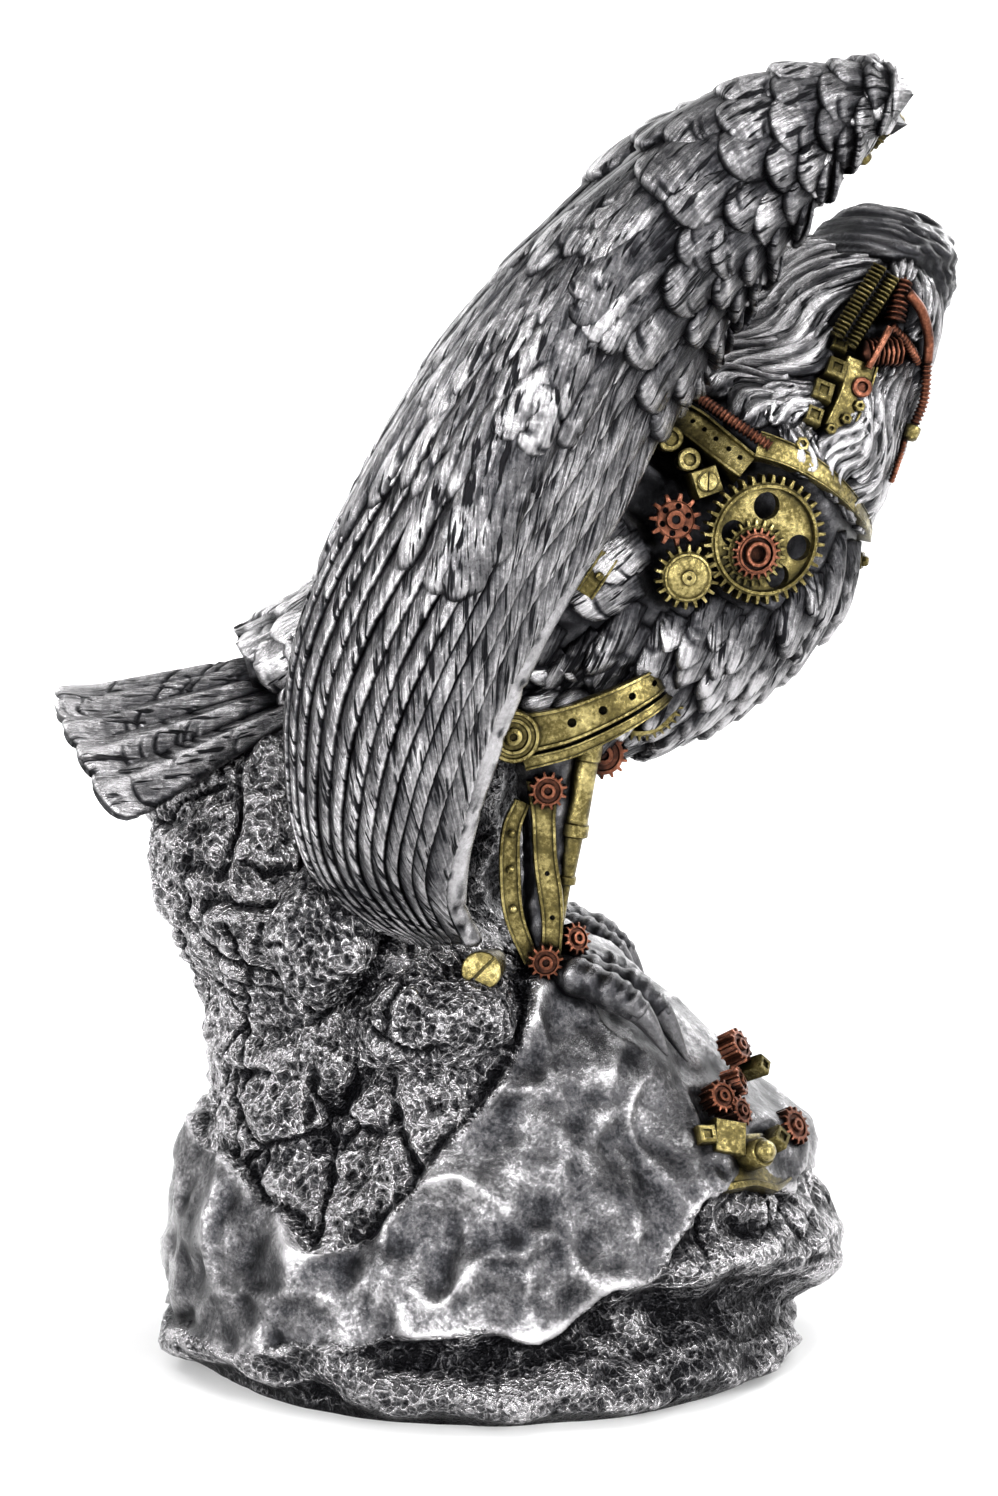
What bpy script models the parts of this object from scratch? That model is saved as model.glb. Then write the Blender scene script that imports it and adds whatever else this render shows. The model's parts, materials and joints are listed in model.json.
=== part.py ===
"""A cast resin figurine: a mechanical eagle with raised wings, perched on a crag.

Run it with blender --background --python part.py, or from Blender's text editor.
The figurine faces +X, up is +Z, and the origin is the centre of the crag's underside.
"""

import math

import bmesh
import bpy
import numpy as np
from mathutils import Matrix, Vector, noise

# The free form is drawn in millimetres of a figurine that is DRAWN_HEIGHT tall.
DRAWN_HEIGHT = 292.0
FIGURINE_HEIGHT = 0.292
MM = FIGURINE_HEIGHT / DRAWN_HEIGHT

# How finely the cast form is fused, and how many faces it and the whole keep.
FUSE_VOXEL = 0.0013
CAST_FACES = 3600
UNDERSIDE_BAND = 0.0008
WHOLE_FACES = 9700

# Wings
FLIGHT_FEATHERS = 12
FEATHER_RIDGE = 2.2
WING_INSET = 1.4
WING_EDGE_THICKNESS = 4.6
ARM_RADIUS = 8.0
LEFT_WING_SHIFT = (5.5, 1.0, -3.5)
# Rows of coverts: where each ends on the front edge and on the rear edge, its feathers and its rise.
COVERT_ROWS = (
    (0.27, 0.47, 10, 2.2),
    (0.19, 0.34, 11, 2.8),
    (0.12, 0.23, 12, 3.2),
    (0.06, 0.12, 12, 3.4),
)
COVERT_SCALLOP = 0.032

# Tail
TAIL_FEATHERS = 9
TAIL_THICKNESS = 5.5
TAIL_ARCH = 20.0

# Plumage of the neck, breast and belly
NECK_LOCKS = 17
NECK_LOCK_RADIUS = 3.0
BREAST_ROWS = 6
BREAST_FEATHERS = 11
BREAST_FEATHER_LENGTH = 13.0
BREAST_FEATHER_WIDTH = 7.5
BREAST_FEATHER_RISE = 2.2

# Crag
LEDGE_DEPTH = 2.6
MELT_THICKNESS = 2.6

# Clockwork: outside radius, teeth and how far each wheel stands out of the skin.
GREAT_WHEEL_RADIUS = 14.3
GREAT_WHEEL_TEETH = 34
GREAT_WHEEL_RISE = 3.2
MIDDLE_WHEEL_RADIUS = 7.6
MIDDLE_WHEEL_TEETH = 20
COPPER_WHEEL_RADIUS = 5.4
COPPER_WHEEL_TEETH = 18
HUB_RADIUS = 2.5
HUB_BORE_RADIUS = 1.5
STAR_WHEEL_RADIUS = 5.7
STAR_WHEEL_TEETH = 10
DISH_WHEEL_RADIUS = 7.1
DISH_WHEEL_TEETH = 17
BELLY_WHEEL_RADIUS = 11.5
BELLY_WHEEL_TEETH = 26
TOOTH_DEPTH = 1.6
WHEEL_STEP = 1.1
WHEEL_ROOT_DEPTH = 9.0

# Straps, rods and hose
STRAP_THICKNESS = 3.0
THIGH_STRAP_WIDTH = 11.5
THIGH_STRAP_END_WIDTH = 5.5
THIGH_RIB_WIDTH = 2.6
KNEE_DISC_RADIUS = 6.2
SHIN_PLATE_WIDTH = 5.6
SHIN_ROD_RADIUS = 1.6
PISTON_RADIUS = 2.4
PISTON_ROD_RADIUS = 1.5
COLLAR_WIDTH = 4.6
COLLAR_THICKNESS = 2.2
HOSE_RADIUS = 1.5
PIN_RADIUS = 3.9
TUBE_SIDES = 10

SILVER = ("antique_silver", (0.36, 0.36, 0.38, 1.0), 0.9, 0.42)
BRASS = ("aged_brass", (0.55, 0.46, 0.20, 1.0), 0.9, 0.38)
COPPER = ("aged_copper", (0.52, 0.21, 0.13, 1.0), 0.9, 0.38)


def clear_scene():
    for existing in list(bpy.data.objects):
        bpy.data.objects.remove(existing)


def material(kind):
    name, colour, metallic, roughness = kind
    found = bpy.data.materials.get(name)
    if found:
        return found
    made = bpy.data.materials.new(name)
    made.use_nodes = True
    shader = made.node_tree.nodes["Principled BSDF"]
    shader.inputs["Base Color"].default_value = colour
    shader.inputs["Metallic"].default_value = metallic
    shader.inputs["Roughness"].default_value = roughness
    made.diffuse_color = colour
    return made


# Curves and grids

def along(points, t):
    """Points at shares t of the length of a smooth curve through the given points."""
    knots = np.asarray(points, float)
    steps = np.linalg.norm(np.diff(knots, axis=0), axis=1)
    length = np.concatenate([[0.0], np.cumsum(steps)])
    where = np.clip(np.asarray(t, float), 0.0, 1.0) * length[-1]
    k = np.clip(np.searchsorted(length, where, side="right") - 1, 0, len(knots) - 2)
    span = (length[k + 1] - length[k])[..., None]
    s = ((where - length[k])[..., None]) / span
    slope = np.empty_like(knots)
    slope[1:-1] = (knots[2:] - knots[:-2]) / (length[2:] - length[:-2])[:, None]
    slope[0] = (knots[1] - knots[0]) / steps[0]
    slope[-1] = (knots[-1] - knots[-2]) / steps[-1]
    a, b = knots[k], knots[k + 1]
    ma, mb = slope[k] * span, slope[k + 1] * span
    return (
        (2 * s**3 - 3 * s**2 + 1) * a
        + (s**3 - 2 * s**2 + s) * ma
        + (3 * s**2 - 2 * s**3) * b
        + (s**3 - s**2) * mb
    )


def smooth_step(low, high, value):
    s = np.clip((value - low) / (high - low), 0.0, 1.0)
    return s * s * (3 - 2 * s)


def table(rows, where):
    """Reads the columns of a table by linear interpolation in its first column."""
    rows = np.asarray(rows, float)
    return [np.interp(where, rows[:, 0], rows[:, c]) for c in range(1, rows.shape[1])]


def grid_normals(points, closed_rows):
    """Unit normals of a grid of points [row, column], columns going right-handed round the rows."""
    if closed_rows:
        across = np.roll(points, -1, axis=1) - np.roll(points, 1, axis=1)
    else:
        across = np.gradient(points, axis=1)
    down = np.gradient(points, axis=0)
    normal = np.cross(across, down)
    return normal / np.maximum(np.linalg.norm(normal, axis=2, keepdims=True), 1e-9)


def roughness_at(points, size, seed=0.0):
    """Smooth noise in -1..1 at each point, with features of the given size."""
    flat = points.reshape(-1, 3)
    shift = Vector((seed, seed * 0.7, -seed))
    values = [noise.noise(Vector(p) / size + shift) for p in flat]
    return np.array(values).reshape(points.shape[:-1])


# Objects

def mesh_object(name, vertices, faces, kind, scale=MM):
    """A closed mesh as an object, its points given in drawn millimetres."""
    mesh = bpy.data.meshes.new(name)
    mesh.from_pydata([tuple(float(c) * scale for c in v) for v in vertices], [], faces)
    mesh.materials.append(material(kind))
    made = bpy.data.objects.new(name, mesh)
    bpy.context.scene.collection.objects.link(made)
    return made


def closed_tube(points):
    """Vertices and faces of rings of points [ring, corner], closed round and capped at both ends."""
    rings, sides = points.shape[:2]
    vertices = points.reshape(-1, 3).tolist()
    faces = []
    for i in range(rings - 1):
        for j in range(sides):
            k = (j + 1) % sides
            faces.append((i * sides + j, i * sides + k, (i + 1) * sides + k, (i + 1) * sides + j))
    faces.append(tuple(reversed(range(sides))))
    faces.append(tuple((rings - 1) * sides + j for j in range(sides)))
    return vertices, faces


def closed_slab(outer, inner):
    """A slab between two grids of points of the same shape, joined all round its rim."""
    rows, columns = outer.shape[:2]
    count = rows * columns
    vertices = np.concatenate([outer.reshape(-1, 3), inner.reshape(-1, 3)]).tolist()
    faces = []
    for i in range(rows - 1):
        for j in range(columns - 1):
            a, b = i * columns + j, i * columns + j + 1
            c, d = a + columns, b + columns
            faces.append((a, b, d, c))
            faces.append((count + a, count + c, count + d, count + b))
    rim = [j for j in range(columns)]
    rim += [i * columns + columns - 1 for i in range(1, rows)]
    rim += [(rows - 1) * columns + j for j in range(columns - 2, -1, -1)]
    rim += [i * columns for i in range(rows - 2, 0, -1)]
    for a, b in zip(rim, rim[1:] + rim[:1]):
        faces.append((b, a, count + a, count + b))
    return vertices, faces


def frame_of(axis, upright=(0.0, 0.0, 1.0)):
    """Two unit vectors square to axis, the second as near to upright as it can be."""
    axis = Vector(axis).normalized()
    side = Vector(upright).cross(axis)
    if side.length < 1e-4:
        side = Vector((1.0, 0.0, 0.0)).cross(axis)
    side.normalize()
    return np.array(side), np.array(axis.cross(side))


def rings_along(path, radii, sides, upright=(0.0, 0.0, 1.0), flat=1.0):
    """Rings round a path of points. flat squeezes them along the second direction."""
    path = np.asarray(path, float)
    tangents = np.gradient(path, axis=0)
    angles = np.linspace(0, 2 * math.pi, sides, endpoint=False)
    side, _ = frame_of(tangents[0], upright)
    rings = []
    for point, tangent, radius in zip(path, tangents, radii):
        tangent = tangent / np.linalg.norm(tangent)
        side = side - tangent * np.dot(side, tangent)
        side /= np.linalg.norm(side)
        up = np.cross(tangent, side)
        rings.append(
            point
            + radius * np.outer(np.cos(angles), side)
            + radius * flat * np.outer(np.sin(angles), up)
        )
    return np.array(rings)


def rod(name, path, radii, kind, sides=TUBE_SIDES, flat=1.0, upright=(0.0, 0.0, 1.0)):
    """A round or flattened bar along a path, with flat ends."""
    if not hasattr(radii, "__len__"):
        radii = [radii] * len(path)
    return mesh_object(name, *closed_tube(rings_along(path, radii, sides, upright, flat)), kind)


def ellipsoid(name, centre, radii, kind, rings=14, sides=20, turn=0.0):
    """A closed egg with its pole along X, turned about Z."""
    around = np.linspace(0, 2 * math.pi, sides, endpoint=False)
    polar = np.linspace(0.04, 1.0 - 0.04, rings) * math.pi
    x = -np.cos(polar)[:, None] * np.ones(sides) * radii[0]
    y = np.sin(polar)[:, None] * np.cos(around) * radii[1]
    z = np.sin(polar)[:, None] * np.sin(around) * radii[2]
    spin = Matrix.Rotation(turn, 3, "Z")
    points = np.stack([x, y, z], axis=2) @ np.array(spin).T + np.asarray(centre)
    return mesh_object(name, *closed_tube(points), kind)


def strap(name, path, normals, widths, thickness, kind):
    """A flat band along a path, lying square to the normals, its outer face on the path."""
    path, normals = np.asarray(path, float), np.asarray(normals, float)
    tangents = np.gradient(path, axis=0)
    across = np.cross(normals, tangents)
    across /= np.linalg.norm(across, axis=1, keepdims=True)
    half = (np.asarray(widths, float) / 2)[:, None]
    back = path - normals * thickness
    points = np.stack(
        [path - across * half, path + across * half, back + across * half, back - across * half], axis=1
    )
    if np.dot(np.cross(points[0, 1] - points[0, 0], points[0, 2] - points[0, 1]), tangents[0]) > 0:
        points = points[:, ::-1]
    return mesh_object(name, *closed_tube(points[:, ::-1]), kind)


def turned(name, centre, axis, profile, kind, sides=24):
    """A turned piece. The profile gives (radius, height along axis) from its back to its front."""
    side, up = frame_of(axis)
    axis = np.array(Vector(axis).normalized())
    angles = np.linspace(0, 2 * math.pi, sides, endpoint=False)
    ring = np.outer(np.cos(angles), side) + np.outer(np.sin(angles), up)
    points = np.array([np.asarray(centre) + radius * ring + height * axis for radius, height in profile])
    return mesh_object(name, *closed_tube(points), kind)


def wheel(name, centre, axis, radius, teeth, rise, kind, depth=WHEEL_ROOT_DEPTH, square=False):
    """A toothed wheel whose front stands rise above centre and whose body runs depth below it."""
    side, up = frame_of(axis)
    axis = np.array(Vector(axis).normalized())
    root = radius - min(TOOTH_DEPTH, 0.28 * radius)
    shape = ((0.02, root), (0.16, radius), (0.44, radius), (0.58, root)) if square else ((0, root), (0.5, radius))
    outline = [
        ((i + share) / teeth * 2 * math.pi, r) for i in range(teeth) for share, r in shape
    ]
    ring = np.array([r * (math.cos(a) * side + math.sin(a) * up) for a, r in outline])
    points = np.array([centre + ring - depth * axis, centre + ring + rise * axis])
    return mesh_object(name, *closed_tube(points), kind)


# The eagle's body

# Sections of the body from tail to crown: place in X and Z, half height, half width.
BODY_SECTIONS = (
    (-58.0, 160.0, 6.0, 14.0),
    (-38.0, 165.0, 13.0, 24.0),
    (-12.0, 173.0, 26.0, 34.0),
    (20.0, 181.0, 41.5, 39.0),
    (46.0, 195.0, 38.5, 40.0),
    (61.0, 212.0, 29.0, 35.0),
    (71.5, 226.0, 24.0, 29.0),
    (79.5, 238.5, 20.0, 23.5),
    (85.5, 248.0, 15.5, 19.0),
    (88.0, 255.0, 6.0, 9.0),
)


def body_grid(rows, columns):
    """Points of the smooth body, rows from tail to crown, columns round it from its back."""
    where = np.linspace(0.0, 1.0, rows)
    x, z, tall, wide = along(BODY_SECTIONS, where).T
    slope_x, slope_z = np.gradient(x), np.gradient(z)
    size = np.hypot(slope_x, slope_z)
    up_x, up_z = -slope_z / size, slope_x / size
    around = np.linspace(0, 2 * math.pi, columns, endpoint=False)
    lift = np.cos(around)[None, :] * tall[:, None]
    points = np.stack(
        [
            x[:, None] + up_x[:, None] * lift,
            np.sin(around)[None, :] * wide[:, None],
            z[:, None] + up_z[:, None] * lift,
        ],
        axis=2,
    )
    return points


class Skin:
    """The smooth body's surface, asked for by its place in a side view."""

    def __init__(self):
        grid = body_grid(240, 360)
        normals = grid_normals(grid, True)
        centre = grid.mean(axis=1, keepdims=True)
        normals *= np.sign((normals * (grid - centre)).sum(axis=2, keepdims=True))
        near = grid[..., 1] < 0
        self.points, self.normals = grid[near], normals[near]

    def at(self, x, z, side=-1, lift=0.0):
        """The point and normal of the skin seen at x, z from the side, -1 for the right one."""
        away = (self.points[:, 0] - x) ** 2 + (self.points[:, 2] - z) ** 2
        nearest = int(np.argmin(away + 0.02 * (self.points[:, 1] + 60)))
        normal = self.normals[nearest] * (1, -side, 1)
        point = np.array((x, -side * self.points[nearest, 1], z))
        return point + lift * normal, normal


def make_body():
    return mesh_object("body", *closed_tube(body_grid(60, 72)[:, ::-1]), SILVER)


class BodySurface:
    """Places on the smooth body by share of its length from the tail and share of the way round it."""

    def __init__(self):
        self.grid = body_grid(200, 360)
        outward = grid_normals(self.grid, True)
        middle = self.grid.mean(axis=1, keepdims=True)
        self.outward = outward * np.sign((outward * (self.grid - middle)).sum(axis=2, keepdims=True))

    def at(self, length_share, round_share):
        i = int(np.clip(length_share, 0, 1) * 199)
        j = int(round_share * 360) % 360
        return self.grid[i, j], self.outward[i, j]


def make_neck_locks(surface):
    """Long tapering locks that sweep back and down from the nape and the cheeks."""
    made = []
    for i in range(NECK_LOCKS):
        start = (i + 0.5) / NECK_LOCKS
        sway = 0.02 * math.sin(2.4 * i)
        shares = np.linspace(0.93 - 0.03 * (i % 2), 0.60 + 0.04 * (i % 3), 7)
        path = [surface.at(v, start + sway * math.sin(9 * v + i))[0] for v in shares]
        radii = NECK_LOCK_RADIUS * np.array((0.4, 0.8, 1.0, 1.05, 1.0, 0.8, 0.2))
        made.append(rod(f"neck_lock{i}", path, radii, SILVER, sides=5))
    return made


def leaf(name, root, direction, normal, length, width, rise, kind):
    """A pointed feather: a low ridge that is widest a third of the way from its root."""
    across = np.cross(direction, normal)
    belly = root + direction * length / 3
    tip = root + direction * length + normal * rise * 0.5
    corners = [root, belly + across * width / 2, tip, belly - across * width / 2,
               belly + normal * rise, belly - normal * rise * 2]
    faces = [(4, 0, 1), (4, 1, 2), (4, 2, 3), (4, 3, 0), (5, 1, 0), (5, 2, 1), (5, 3, 2), (5, 0, 3)]
    return mesh_object(name, corners, faces, kind)


def make_breast_feathers(surface):
    """Rows of pointed feathers round the breast and the belly, lying towards the tail."""
    made = []
    for row in range(BREAST_ROWS):
        length_share = 0.20 + 0.085 * row
        for i in range(BREAST_FEATHERS):
            round_share = 0.5 + (i - (BREAST_FEATHERS - 1) / 2 + 0.5 * (row % 2)) * 0.048
            root, normal = surface.at(length_share, round_share)
            behind, _ = surface.at(length_share - 0.06, round_share)
            direction = behind - root
            direction /= np.linalg.norm(direction)
            made.append(leaf(f"breast{row}_{i}", root, direction, normal, BREAST_FEATHER_LENGTH,
                             BREAST_FEATHER_WIDTH, BREAST_FEATHER_RISE, SILVER))
    return made


HEAD_CENTRE = (87.5, 3.0, 248.3)
HEAD_RADII = (20.0, 17.5, 15.5)
HEAD_TURN = math.radians(68.0)


def head_place(forward, side, up):
    """A point given along the head's own directions, with the head turned to the eagle's left."""
    c, s = math.cos(HEAD_TURN), math.sin(HEAD_TURN)
    x, y, z = HEAD_CENTRE
    return (x + forward * c - side * s, y + forward * s + side * c, z + up)


def make_head():
    made = [ellipsoid("head", HEAD_CENTRE, HEAD_RADII, SILVER, rings=24, sides=36, turn=HEAD_TURN)]
    crown_path = [(-4, 0, 10.5), (6, 0, 11.5), (14, 0, 9.0), (19, 0, 5.0)]
    made.append(rod("crown", [head_place(*p) for p in crown_path], [11, 12, 9.5, 6],
                    SILVER, sides=16, flat=0.45))
    for side in (-1, 1):
        brow = [(2, side * 13.5, 7.0), (10, side * 12.5, 8.0), (17, side * 8.5, 6.0), (20, side * 5.5, 3.0)]
        made.append(rod(f"brow{side}", [head_place(*p) for p in brow], [2.2, 3.2, 2.6, 1.6], SILVER, sides=8))
        eye = head_place(13.0, side * 9.8, 2.6)
        made.append(ellipsoid(f"eye{side}", eye, (2.9, 2.9, 2.9), SILVER, rings=8, sides=12))
    beak = [(13, 0, -1.0), (20, 0, 0.5), (27, 0, -0.5), (32.0, 0, -4.5), (34.0, 0, -10.5), (33.4, 0, -14.0)]
    widths = [8.6, 7.8, 6.2, 4.4, 2.3, 0.8]
    made.append(rod("beak", along([head_place(*p) for p in beak], np.linspace(0, 1, 14)),
                    np.interp(np.linspace(0, 1, 14), np.linspace(0, 1, 6), widths), SILVER, sides=14, flat=1.15))
    jaw = [(12, 0, -8.0), (20, 0, -8.5), (27.5, 0, -9.0)]
    made.append(rod("lower_beak", [head_place(*p) for p in jaw], [5.6, 4.2, 1.6], SILVER, sides=10, flat=0.6))
    return made


# Wings. Four flow lines run from the arm to the wing's tip, from its front edge to its rear one.

FRONT_LINE = (
    (39.7, -42.0, 228.6), (31.4, -49.0, 213.9), (26.7, -54.0, 197.1), (21.0, -57.0, 182.4),
    (7.8, -60.0, 169.9), (-1.9, -61.0, 155.1), (-7.2, -60.0, 139.9), (-11.3, -58.0, 124.4),
    (-12.2, -55.0, 112.9), (-8.7, -51.0, 104.0),
)
CREST_LINE = (
    (60.0, -62.0, 262.0), (40.0, -70.0, 256.0), (18.2, -74.5, 243.0), (4.0, -76.0, 223.6),
    (-7.0, -76.0, 203.2), (-14.0, -74.0, 182.4), (-21.5, -71.0, 161.2), (-27.0, -66.5, 139.4),
    (-27.7, -60.0, 121.1), (-17.4, -51.0, 103.6),
)
OUTER_LINE = (
    (82.0, -60.0, 287.0), (69.0, -64.0, 289.0), (45.5, -66.0, 285.8), (23.2, -66.0, 271.3),
    (-5.4, -63.0, 243.6), (-30.0, -56.0, 208.2), (-46.6, -49.0, 171.4), (-49.0, -46.0, 140.5),
    (-43.5, -47.0, 119.0), (-25.9, -48.0, 103.4),
)
REAR_LINE = (
    (79.0, -47.0, 285.0), (64.5, -46.0, 285.2), (44.0, -45.0, 280.5), (22.5, -43.0, 265.5),
    (-5.0, -39.0, 240.5), (-28.0, -33.0, 205.0), (-43.0, -28.0, 170.0), (-44.5, -30.0, 141.0),
    (-38.5, -37.0, 118.0), (-24.5, -43.0, 103.0),
)
LINE_SHARES = (0.0, 0.42, 0.82, 1.0)


def wing_surface(u, v):
    """Points of the wing's smooth outer face. u runs front to rear, v from arm to tip."""
    lines = np.stack([along(line, v) for line in (FRONT_LINE, CREST_LINE, OUTER_LINE, REAR_LINE)], axis=-2)
    knots = np.array(LINE_SHARES)
    k = np.clip(np.searchsorted(knots, u, side="right") - 1, 0, 2)
    span = knots[k + 1] - knots[k]
    s = ((u - knots[k]) / span)[..., None]
    pick = lambda i: np.take_along_axis(lines, i[..., None, None], axis=-2)[..., 0, :]
    slope = lambda i: (
        (pick(np.minimum(i + 1, 3)) - pick(np.maximum(i - 1, 0)))
        / (knots[np.minimum(i + 1, 3)] - knots[np.maximum(i - 1, 0)])[..., None]
    )
    a, b, ma, mb = pick(k), pick(k + 1), slope(k) * span[..., None], slope(k + 1) * span[..., None]
    return (
        (2 * s**3 - 3 * s**2 + 1) * a
        + (s**3 - 2 * s**2 + s) * ma
        + (3 * s**2 - 2 * s**3) * b
        + (s**3 - s**2) * mb
    )


def wing_normals(points):
    normals = grid_normals(points, False)
    return normals * np.sign(-normals[..., 1:2].mean())


def wing_to_side(points, side):
    """Points given for the right wing, on its own side or on the left, where the wing sits forward."""
    if side < 0:
        return points
    share = np.interp(points[..., 2:3], (100, 150, 262, 290), (0.4, 1.0, 1.0, 0.3))
    return points * (1, -1, 1) + np.array(LEFT_WING_SHIFT) * share


def mirrored_slab(name, outer, inner, side):
    """A slab given for the right wing, on its own side or mirrored to the other."""
    vertices, faces = closed_slab(wing_to_side(outer, side), wing_to_side(inner, side))
    if side > 0:
        faces = [face[::-1] for face in faces]
    return mesh_object(name, vertices, faces, SILVER)


def wing_grid(u, v):
    u, v = np.meshgrid(u, v)
    return wing_surface(u, v), u, v


def make_wing_web(side):
    """The wing's thin curved web, with broad feathers on its inner face."""
    smooth, u, _ = wing_grid(np.linspace(0, 1, 15), np.linspace(0, 1, 13))
    normals = wing_normals(smooth)
    ripple = 1.2 * (np.arange(15) % 2)[None, :, None]
    rim = (1 - 0.35 * np.abs(2 * u - 1) ** 8)[..., None]
    inner = smooth - normals * (WING_EDGE_THICKNESS + ripple) * rim
    return mirrored_slab(f"wing_web{side}", smooth - normals * WING_INSET, inner, side)


def make_flight_feathers(side):
    """Long feathers side by side from the arm to the tip, each with a groove along its front edge."""
    shares, heights = [], []
    for i in range(FLIGHT_FEATHERS):
        for place, height in ((0.02, 0.0), (0.22, FEATHER_RIDGE), (0.98, 0.35 * FEATHER_RIDGE)):
            shares.append(0.01 + 0.95 * (i + place) / FLIGHT_FEATHERS)
            heights.append(height)
    smooth, u, v = wing_grid(np.array(shares), np.linspace(0.1, 0.9, 12))
    normals = wing_normals(smooth)
    fade = 1 - 0.5 * v**3
    outer = smooth + normals * (np.array(heights)[None, :] * fade - WING_INSET)[..., None]
    return mirrored_slab(f"flight{side}", outer, smooth - normals * (WING_INSET + 1.0), side)


def make_coverts(side):
    """Overlapping rows of rounded coverts over the roots of the flight feathers."""
    made = []
    top = 0.0
    for row, (front_end, rear_end, count, rise) in enumerate(COVERT_ROWS):
        share = np.linspace(0.0, 1.0, 2 * count + 1)
        end = front_end + (rear_end - front_end) * share
        end = end - COVERT_SCALLOP * ((np.arange(2 * count + 1) + row) % 2)
        start = end * 0.45
        steps = np.array((0.0, 0.6, 1.0))[:, None]
        v = start + (end - start) * steps
        u = np.ones((3, 1)) * (0.0 + share)
        smooth = wing_surface(u, v)
        dense, _, _ = wing_grid(np.linspace(0, 1, 41), np.linspace(0, 1, 41))
        facing = wing_normals(dense)
        normals = facing[np.rint(v * 40).astype(int), np.rint(u * 40).astype(int)]
        bulge = 0.5 * ((np.arange(2 * count + 1) + row) % 2 == 0)
        outer = smooth + normals * ((rise + bulge) * (0.35 + 0.65 * steps) - 0.6)[..., None]
        made.append(mirrored_slab(f"coverts{side}_{row}", outer, smooth - normals * (WING_INSET + 1.2), side))
    return made


def make_arm(name, side):
    """The rounded leading edge that carries the wing from the shoulder to the wrist."""
    share = np.linspace(0.0, 0.9, 9)
    smooth = wing_surface(share, np.full(9, 0.03))
    path = smooth + np.array((-1.5, ARM_RADIUS * 0.72, -2.0))
    root = path[0] + np.array((-8.0, 14.0, -10.0))
    path = wing_to_side(np.vstack([root, path]), side)
    radii = ARM_RADIUS * np.array((1.5, 1.3, 1.15, 1.05, 1.0, 1.0, 1.0, 0.95, 0.9, 0.7))
    return rod(name, path, radii, SILVER, sides=16)


# The tail

def tail_surface(u, v):
    """Points of the arched fan. u runs across it from -1 to 1, v from its root to its end."""
    x = -38.0 - 66.0 * v * (1 - 0.22 * u**2)
    y = u * (11.0 + 27.0 * v)
    z = 161.5 - 11.5 * v - TAIL_ARCH * np.abs(u) ** 1.7 * (0.35 + 0.65 * v)
    return np.stack([x, y, z], axis=-1)


def make_tail_web():
    v, u = np.meshgrid(np.linspace(0, 0.93, 12), np.linspace(-0.97, 0.97, 19), indexing="ij")
    top = tail_surface(u, v) - np.array((0, 0, 1.0))
    return mesh_object("tail_web", *closed_slab(top, top - np.array((0, 0, TAIL_THICKNESS))), SILVER)


def make_tail_feathers():
    """Nine feathers, the middle one on top, with rounded ends that curl up a little."""
    made = []
    v = np.array((0.0, 0.35, 0.7, 0.9, 1.0))
    for i in range(TAIL_FEATHERS):
        u = -1 + (2 * i + 1) / TAIL_FEATHERS
        path = tail_surface(np.full(5, u), v)
        path[:, 2] += 1.8 - 1.2 * abs(u) + np.array((0, 0, 0, 0.3, 1.0))
        beside = tail_surface(np.full(5, u + 0.05), v) - tail_surface(np.full(5, u - 0.05), v)
        normals = np.cross(np.gradient(path, axis=0), beside)
        normals /= np.linalg.norm(normals, axis=1, keepdims=True)
        normals *= np.sign(normals[:, 2:3])
        widths = np.array((3.6, 5.6, 8.0, 8.6, 5.0))
        made.append(strap(f"tail_feather{i}", path, normals, widths, 3.4, SILVER))
    return made


# The crag: its left end, right end and half depth at each height.
CRAG_LEVELS = (
    (0.0, -72.5, 66.0, 65.5), (4.0, -74.5, 70.0, 67.5), (17.0, -76.5, 74.0, 67.0),
    (32.0, -75.5, 75.5, 64.0), (42.0, -73.0, 73.0, 61.0), (50.0, -71.5, 71.0, 58.0),
    (61.0, -69.5, 57.5, 54.0), (70.0, -68.0, 49.0, 51.0), (80.0, -67.0, 39.5, 48.0),
    (89.0, -69.0, 28.5, 47.0), (96.0, -72.5, 14.0, 47.0), (103.0, -76.0, -3.0, 46.5),
    (108.0, -79.0, -12.0, 41.0), (116.0, -80.5, -20.0, 33.0), (127.0, -80.5, -28.0, 28.0),
    (138.0, -77.0, -34.0, 23.0), (146.0, -69.0, -40.0, 18.0), (151.0, -60.0, -48.0, 9.0),
)
CRAG_SQUARENESS = 2.08


def crag_grid(rows=110, columns=180):
    height = np.linspace(0, CRAG_LEVELS[-1][0], rows)
    left, right, deep = table(CRAG_LEVELS, height)
    around = np.linspace(0, 2 * math.pi, columns, endpoint=False)
    power = 2 / CRAG_SQUARENESS
    c = np.sign(np.cos(around)) * np.abs(np.cos(around)) ** power
    s = np.sign(np.sin(around)) * np.abs(np.sin(around)) ** power
    x = ((left + right) / 2)[:, None] + ((right - left) / 2)[:, None] * c
    y = deep[:, None] * s
    return np.stack([x, y, height[:, None] * np.ones(columns)], axis=2)


def crag_relief(points):
    """Ledges and clefts of the rough stone, and the smoother melt that flowed over its foot."""
    z = points[..., 2]
    big = roughness_at(points * (1, 1, 0.75), 26.0, 3.0)
    small = roughness_at(points * (1, 1, 1.6), 9.0, 7.0)
    stone = 4.6 * big + 2.3 * small
    ledges = LEDGE_DEPTH * np.sin(z / 4.4 + 2.2 * big) * (1 - smooth_step(28, 42, z))
    melt = melt_cover(points)
    smooth = MELT_THICKNESS + 3.0 * roughness_at(points, 17.0, 11.0)
    return (stone + ledges) * (1 - melt) + smooth * melt


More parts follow.
